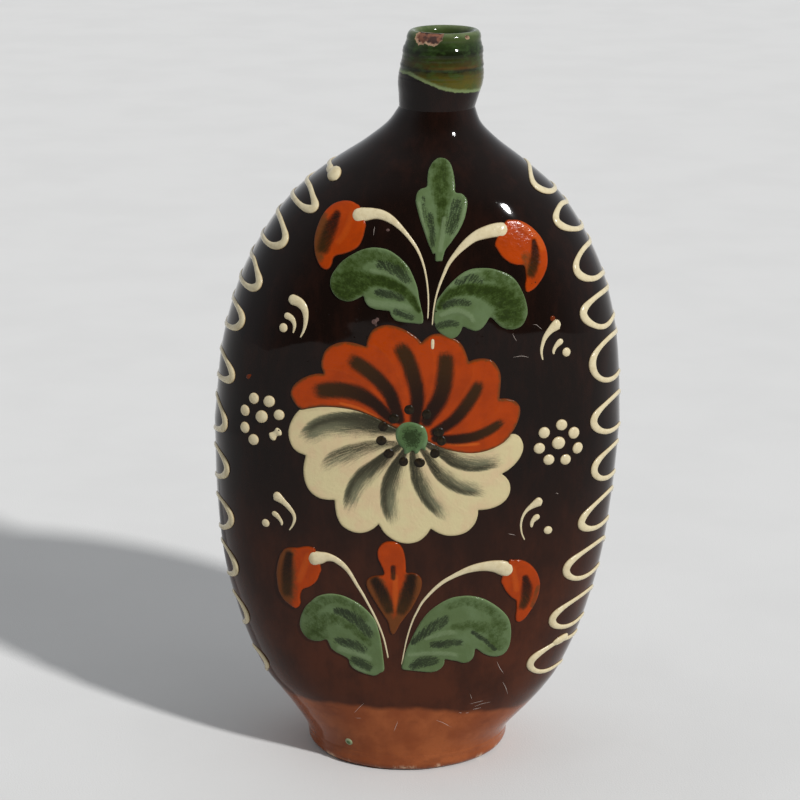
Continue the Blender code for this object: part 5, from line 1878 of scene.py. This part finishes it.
def round_ends(run: Array, half: Array) -> Array:
    """Close a bead in a round end at both ends of its line.

    Args:
        run: Each point's distance along the line.
        half: Each point's half width.

    Returns:
        The new half widths.
    """
    first = np.clip(run / half[0], 0, 1)
    last = np.clip((run[-1] - run) / half[-1], 0, 1)
    close = np.sqrt(np.clip(1 - (1 - first) ** 2, 0, 1)) * np.sqrt(np.clip(1 - (1 - last) ** 2, 0, 1))
    return half * np.maximum(close, 0.05)


@dataclass
class Dots(Assembly):
    """The rings of cream dots and the dots beside the commas: place, half width and half height."""

    left: tuple[tuple[float, float, float, float], ...] = (
        (-55.2, 138.25, 2.55, 2.3), (-57.9, 144.4, 2.15, 2.05), (-52.4, 144.15, 2.35, 2.1),
        (-61.25, 139.4, 2.05, 2.1), (-48.9, 139.7, 2.1, 1.95), (-61.4, 133.2, 2.05, 2.1),
        (-58.25, 129.4, 2.25, 2.05))
    right: tuple[tuple[float, float, float, float], ...] = (
        (49.7, 129.4, 2.6, 2.4), (50.7, 135.9, 2.25, 2.05), (44.45, 133.7, 2.15, 2.1),
        (55.2, 132.4, 2.3, 2.2), (42.8, 128.1, 2.15, 2.05), (56.7, 126.5, 2.15, 2.2),
        (46.3, 123.5, 2.15, 2), (52.4, 122.8, 2.15, 2))
    singles: tuple[tuple[str, float, float, float, float], ...] = (
        ("comma_dot_upper_left", -47.05, 170.7, 1.6, 1.65),
        ("comma_dot_lower_left", -54.45, 98.45, 1.55, 1.55),
        ("comma_dot_upper_right", 51.95, 162, 1.65, 1.65),
        ("comma_dot_lower_right", 46.6, 96.6, 1.7, 1.55))

    def build(self) -> None:
        """Build both rings and the single dots."""
        for side, places in (("left", self.left), ("right", self.right)):
            nodes = [f"dot_{side}_centre"] + [f"dot_{side}_{k}" for k in range(1, len(places))]
            self.drops(f"dot_ring_{side}", np.array(places), nodes)
        for node, *place in self.singles:
            self.drops(f"{node}_slip", np.array([place]), [node])

    def drops(self, name: str, places: Array, nodes: list[str]) -> None:
        """Lay cream drops on the front.

        Args:
            name: The piece's name.
            places: Flat places with half widths and half heights in millimetres.
            nodes: The solids that they stand for.
        """
        points, outward = self.shape.on_face(places, 0)
        line = Line(points, outward, places[:, 3] * MM, places[:, 2] / places[:, 3], False)
        piece = grow(name, [line], drop_tree(), {"Rise": 0.42}, Finish.TRAILED)
        self.settle(piece, "cream_slip", *nodes)


RIGHT_LOOPS = (
    ((-8, 236.5), (0, 235.8), (5, 235.5), (10, 233.3), (14, 230), (17.2, 226.5), (12, 223.3), (5, 223.3),
     (0, 222.6)),
    ((0, 215.5), (10, 218), (17, 215.8), (23.3, 211), (15, 207), (5, 206), (0, 205)),
    ((0, 199), (10, 200), (16, 199.7), (22, 197.5), (28.3, 191.5), (20, 187.7), (10, 188), (0, 185.5)),
    ((0, 180.5), (10, 182), (20, 182), (26, 180.5), (33, 176.5), (25, 170.2), (20, 170), (10, 171.5),
     (0, 169.5)),
    ((0, 163.5), (10, 165.3), (17, 166), (24, 164.8), (29, 162.5), (33, 158.5), (30, 152.7), (25, 150.5),
     (15, 150.3), (10, 150.8), (0, 147)),
    ((0, 139), (10, 143), (18, 143.7), (25, 142.5), (30, 140.3), (34.2, 137.3), (30, 133), (25, 131.3),
     (15, 131), (10, 130.8), (0, 126.5)),
    ((0, 120), (10, 124), (17, 125), (25, 123.8), (29, 122), (32.3, 119.3), (29, 115.3), (24, 113.2),
     (15, 113), (10, 112.6), (0, 107.5)),
    ((0, 100.5), (10, 106), (17, 107.3), (25, 106), (31, 103), (35.6, 98.8), (31, 96), (26, 94.7), (15, 95.3),
     (10, 94.6), (0, 88.5)),
    ((0, 80.5), (10, 86), (17, 88.4), (25, 88), (32, 86), (38.4, 82.2), (33, 77), (27, 75.5), (15, 76.5),
     (10, 76), (0, 69)),
    ((0, 60), (10, 66.5), (17, 68.3), (25, 67.5), (32, 65.5), (37.5, 62), (33, 57.5), (25, 55.3), (17, 56),
     (10, 55.6), (0, 47.5)),
    ((0, 41), (10, 48.5), (20, 48.6), (26.5, 50.6), (33, 47.8), (39, 44.5), (33, 38.5), (25, 36), (17, 36.5),
     (10, 34.5), (0, 30)))
LEFT_LOOPS = (
    ((16.4, 232.9), (13.2, 234.5), (9, 235.9), (4.8, 236.6), (0, 236.4)),
    ((0, 226.5), (5, 227), (10, 226.5), (15, 224.5), (20, 221.5), (25.5, 217.5), (20, 217.5), (12, 219.3),
     (5, 220), (0, 219.5)),
    ((0, 211.5), (7, 212), (13, 211), (20, 207.5), (25, 203), (20, 201), (12, 201.8), (5, 202.2), (0, 201.5)),
    ((0, 193.5), (10, 194.5), (15, 193.3), (20, 190.3), (25.5, 186.5), (22, 184.5), (15, 184.8), (7, 185.2),
     (0, 184.3)),
    ((0, 176), (8, 177.3), (15, 176.7), (20, 175.2), (24.3, 172.5), (20, 169), (13, 168.3), (5, 167.3),
     (0, 166.3)),
    ((0, 156.5), (8, 158.5), (14, 158.2), (20, 156), (26, 152), (20, 149.6), (13, 149.3), (5, 148),
     (0, 146.7)),
    ((0, 139), (8, 141.3), (13, 141), (19, 138.3), (24.5, 134), (20, 131), (13, 129.6), (5, 127.5), (0, 126)),
    ((0, 119.5), (8, 122), (14, 122.7), (20, 121), (25, 117.5), (21, 113.6), (15, 111.7), (7, 110), (0, 108)),
    ((0, 100), (8, 103), (15, 103.8), (21, 102.5), (26, 98.8), (22, 94.7), (16, 92), (8, 90.5), (0, 87.5)),
    ((0, 81), (8, 84.7), (14, 85.7), (20, 84), (25, 79.5), (21, 75.5), (15, 73.3), (8, 71.6), (0, 68.5)),
    ((0, 57.5), (5, 62), (10, 64.6), (15, 65.4), (19, 63.8), (22.5, 59.5), (19, 55.5), (12, 52), (5, 50),
     (0, 48.5)),
    ((0, 31.5), (5, 38), (10, 41.5), (15, 43), (19, 42), (21.7, 38.8), (18, 35.5), (12, 31.5), (5, 28)))


@dataclass
class SideTrails(Assembly):
    """The looped cream trail down each narrow side.

    Each loop goes from the side's middle to its tip and back. Its points are distances forwards from that
    middle and up the side, in millimetres. A blob is a thick place: its side, both ends and half width.
    """

    right: tuple[Outline, ...] = RIGHT_LOOPS
    left: tuple[Outline, ...] = LEFT_LOOPS
    back_reach: float = 21.5
    stroke: float = 0.98
    tip_stroke: float = 0.75
    tip_length: float = 5.0
    blob_steps: int = 24
    blobs: tuple[tuple[int, tuple[float, float], tuple[float, float], float], ...] = (
        (-1, (18.4, 231.7), (9.5, 236.6), 2.85), (-1, (14, 234), (3, 236.8), 1.5),
        (1, (22.6, 51.2), (30.4, 49.6), 1.9))

    def build(self) -> None:
        """Build both trails."""
        for name, side, loops in (("left", -1, self.left), ("right", 1, self.right)):
            self.trail(f"side_trail_{name}", side, loops)

    def bead(self, side: int, curve: Array, half: Array) -> Line:
        """Lay a curve on a narrow side.

        Args:
            side: 1 for the right side and -1 for the left.
            curve: Distances forwards and up the side, in millimetres.
            half: The slip's half width along it, in millimetres.

        Returns:
            The line for the slip.
        """
        heights = np.linspace(self.shape.foot_height, self.shape.collar_base, 900)
        height = np.interp(curve[:, 1] * MM, self.shape.side_run(heights), heights)
        points, outward = self.shape.on_side(curve[:, 0] * MM, height, side)
        return Line(points, outward, half * MM)

    def back_turn(self, leave: float, enter: float) -> list[tuple[float, float]]:
        """Lead the trail round the back between two loops.

        Args:
            leave: The run at which it leaves the side's middle.
            enter: The run at which it comes back to it.

        Returns:
            Points between the two.
        """
        turn = ((0.42, 0.02), (0.8, 0.14), (1, 0.5), (0.8, 0.86), (0.42, 0.98))
        return [(-self.back_reach * out, leave + (enter - leave) * share) for out, share in turn]

    def trail(self, node: str, side: int, loops: tuple[Outline, ...]) -> None:
        """Lay one trail.

        Args:
            node: The solid that it stands for.
            side: 1 for the right side and -1 for the left.
            loops: Its loops from the top.
        """
        path: list[tuple[float, float]] = []
        for loop in loops:
            if path:
                path += self.back_turn(path[-1][1], loop[0][1])
            path += loop
        curve = flat_curve(path, 100 * len(loops), False)
        tap = np.exp(-(np.arange(-9, 10) / 4.6) ** 2)
        padded = np.vstack((np.repeat(curve[:1], 9, 0), curve, np.repeat(curve[-1:], 9, 0)))
        curve = np.column_stack([np.convolve(axis, tap / tap.sum(), "valid") for axis in padded.T])
        run = run_along(curve)
        thick = np.zeros(len(curve))
        for loop in loops:
            tip = max(loop)
            at = run[np.linalg.norm(curve - np.array(tip), axis=1).argmin()]
            thick = np.maximum(thick, np.exp(-((run - at) / self.tip_length) ** 2))
        thick *= self.tip_stroke
        half = round_ends(run, self.stroke + thick)
        lines = [self.bead(side, curve, half)]
        swell = np.sqrt(1.003 - np.linspace(-1, 1, self.blob_steps) ** 2)
        lines += [self.bead(side, np.linspace(first, last, self.blob_steps), blob * swell)
                  for blob_side, first, last, blob in self.blobs if blob_side == side]
        piece = grow(f"{node}_slip", lines, trail_tree(), {"Rise": 0.55}, Finish.TRAILED)
        self.settle(piece, "cream_slip", node)


@dataclass
class Wear(Assembly):
    """The small accidents of the front: pits, flecks, chips, scratches, a droplet and a dash of slip."""

    scratches: tuple[Outline, ...] = (((32.8, 170), (33.4, 168.6), (34.2, 167.3)), ((40, 172.6),
        (41.3, 172.4), (43, 170.8)), ((33, 161.6), (36, 161.9), (38.6, 161.3)), ((-15, 206.5), (-15.3, 205),
        (-15.4, 203.5)), ((5.5, 224), (7.4, 224.6), (9.5, 226)), ((32, 96.6), (35, 95.8)), ((49.2, 110.6),
        (50.2, 110)), ((29, 45.6), (30.2, 42.6), (31.6, 40.2)), ((-19.5, 29.2), (-21.4, 26.8), (-23.2, 24.2)),
        ((-7, 21.9), (-8.5, 17.5)), ((6.9, 22.2), (9.6, 20.8), (12.5, 18.6)), ((19.4, 28.4), (24.2, 29.1)),
        ((20.9, 26.8), (24, 27.8), (27.1, 28)), ((19.3, 32.8), (20.1, 30.5)), ((31.4, 36.4), (32.6, 33.6),
        (33.4, 30.4)), ((20.4, 25.6), (23.6, 26)), ((15.4, 24.9), (16.4, 24.6)), ((17.8, 24.3), (19, 24.5)),
        ((-22.5, 22), (-20.6, 22.2)))
    pits: Route = (
        (-48.9, 134.15, 0.35), (40.5, 187, 0.4), (39.25, 186.75, 0.35), (38.75, 185.25, 0.3),
        (39.75, 185.5, 0.3), (6.25, 178.15, 0.4), (5.6, 173.85, 0.35), (24.1, 191.4, 0.35))
    flecks: Route = (
        (46.9, 174.2, 1.0), (-60, 151.7, 0.8), (-59.3, 152.3, 0.5), (25.4, 160, 0.5))
    chips: Route = (
        (-15.2, 174.4, 0.95), (-10.5, 205.3, 0.5), (-14.2, 175.2, 0.7), (-14.6, 173.3, 0.5))
    droplet: tuple[float, float, float] = (-25.3, 10.1, 1.55)
    dash: Route = ((5.05, 168.6, 0.5), (5, 166.8, 0.6), (4.95, 165, 0.45))
    dash_lift: float = 0.0005
    dash_steps: int = 20
    pit_lift: float = 0.00052
    droplet_middle: float = 0.55
    droplet_middle_lift: float = 0.0003
    scratch_half_width: float = 0.075
    scratch_steps: int = 14

    def build(self) -> None:
        """Build the flecks, pits, scratches, the droplet and the dash."""
        self.drops("dark_pits", self.pits, self.pit_lift, 0.25, Finish.SPOT, "dark_glaze")
        self.drops("orange_flecks", self.flecks, 0.0, 0.3, Finish.ORANGE, "orange_slip")
        self.drops("small_chips", self.chips, 0.0, 0.12, Finish.CHIP, "clay")
        self.drops("foot_droplet", (self.droplet,), 0.0, 0.25, Finish.PALE_DROP, "green_slip")
        middle = (*self.droplet[:2], self.droplet[2] * self.droplet_middle)
        self.drops("foot_droplet_middle", (middle,), self.droplet_middle_lift, 0.2, Finish.BOSS,
                   "green_slip")
        half = self.scratch_half_width * MM * np.sin(np.linspace(0.2, 2.9, self.scratch_steps))
        lines = [Line(*self.shape.on_face(flat_curve(scratch, self.scratch_steps, False), 0), half)
                 for scratch in self.scratches]
        self.settle(grow("fine_scratches", lines, trail_tree(), {"Rise": 0.3, "Sides": 6}, Finish.SCRATCH),
                    "dark_glaze")
        path = flat_curve(self.dash, self.dash_steps, False)
        points, outward = self.shape.on_face(path, self.dash_lift)
        half = round_ends(np.linspace(0, 3.6, self.dash_steps), path[:, 2])
        self.settle(grow("cream_dash", [Line(points, outward, half * MM)], trail_tree(), {"Rise": 0.4},
                         Finish.TRAILED), "cream_slip")

    def drops(self, name: str, places: Route, lift: float, rise: float,
              finish: Finish, slot: str) -> None:
        """Lay small drops on the front.

        Args:
            name: The piece's name.
            places: Flat places with radii in millimetres.
            lift: Their height above the skin.
            rise: How high they stand for their radius.
            finish: Their slip.
            slot: A name for their slip, handed on to settle.
        """
        table = np.array(places)
        points, outward = self.shape.on_face(table, lift)
        line = Line(points, outward, table[:, 2] * MM, 1 + 0.2 * np.sin(np.arange(len(table)) * 1.7), False)
        self.settle(grow(name, [line], drop_tree(), {"Rise": rise, "Segments": 14, "Rings": 8}, finish), slot)


# Studio

@dataclass(frozen=True)
class Studio:
    """A pale floor, soft light and the camera at the photograph's angle."""

    floor_colour: Colour = (0.60, 0.594, 0.582)
    floor_reach: float = 30.0
    key_direction: tuple[float, float, float] = (0.55, -0.56, 0.62)
    key_angle: float = 4.0
    key_power: float = 3.4
    sky_colour: Colour = (0.93, 0.96, 1.0)
    sky_span: tuple[float, float] = (-0.95, -0.1)
    sky_strength: tuple[float, float] = (0.06, 0.66)
    camera_target: tuple[float, float, float] = (-0.0063, 0.0, 0.1343)
    camera_distance: float = 0.8332
    camera_elevation: float = 17.15
    camera_angle: float = 20.0

    def build(self) -> None:
        """Set up the floor, lamps, world and camera."""
        self.floor()
        self.key()
        self.world()
        self.camera()
        bpy.context.scene.view_settings.view_transform = "Standard"

    def floor(self) -> None:
        """Lay the pale floor."""
        reach = self.floor_reach
        points = np.array(((-reach, -reach, 0), (reach, -reach, 0), (reach, reach, 0), (-reach, reach, 0)))
        mesh = bpy.data.meshes.new("floor")
        mesh.from_pydata(points.tolist(), [], [(0, 1, 2, 3)])
        mix = Recipe("pale_cloth", 0.9, 0.1)
        at = mix.place()
        soft = mix.noise(at, 0.012, 3)
        shade = tuple(value * 0.97 for value in self.floor_colour)
        colour = mix.blend(mix.step(soft, 0.35, 0.7), self.floor_colour, shade)
        mesh.materials.append(mix.finish(colour, mix.noise(at, 1.4, 2), 0.00008))
        link("floor", mesh)

    def key(self) -> None:
        """Shine the one main lamp from the upper right."""
        lamp = bpy.data.lights.new("key", "SUN")
        lamp.angle = math.radians(self.key_angle)
        lamp.energy = self.key_power
        holder = link("key", lamp)
        direction = Vector(self.key_direction).normalized()
        holder.location = direction * 1.5
        holder.rotation_euler = direction.to_track_quat("Z", "Y").to_euler()

    def world(self) -> None:
        """Light the surroundings softly, paler at the sides than in front."""
        world = bpy.data.worlds.new("soft_room")
        world.use_nodes = True
        world.node_tree.nodes.clear()
        work = NodeWork(world.node_tree)
        at = work.add("ShaderNodeTexCoord", {}).outputs["Generated"]
        forward = work.add("ShaderNodeSeparateXYZ", {0: at}).outputs[1]
        strength = work.step(forward, *self.sky_span, *self.sky_strength)
        light = work.add("ShaderNodeBackground", {"Color": (*self.sky_colour, 1), "Strength": strength})
        work.add("ShaderNodeOutputWorld", {0: light.outputs[0]})
        bpy.context.scene.world = world

    def camera(self) -> None:
        """Stand the camera where the photograph was taken."""
        data = bpy.data.cameras.new("camera")
        data.angle = math.radians(self.camera_angle)
        camera = link("camera", data)
        tilt = math.radians(self.camera_elevation)
        target = Vector(self.camera_target)
        camera.location = target + self.camera_distance * Vector((0, -math.cos(tilt), math.sin(tilt)))
        camera.rotation_euler = (math.pi / 2 - tilt, 0, 0)
        bpy.context.scene.camera = camera


def main() -> None:
    """Build the flask piece by piece and then the studio."""
    logging.basicConfig(level=logging.INFO, format="%(message)s")
    shape = FlaskShape()
    for assembly in (Foot(shape), Body(shape), Collar(shape), Rosette(shape), Rosette(shape, face=BACK),
                     Sprigs(shape), Strokes(shape), Dots(shape), SideTrails(shape), Wear(shape)):
        log.info("Building %s", type(assembly).__name__)
        assembly.build()
    Studio().build()


if __name__ == "__main__":
    main()
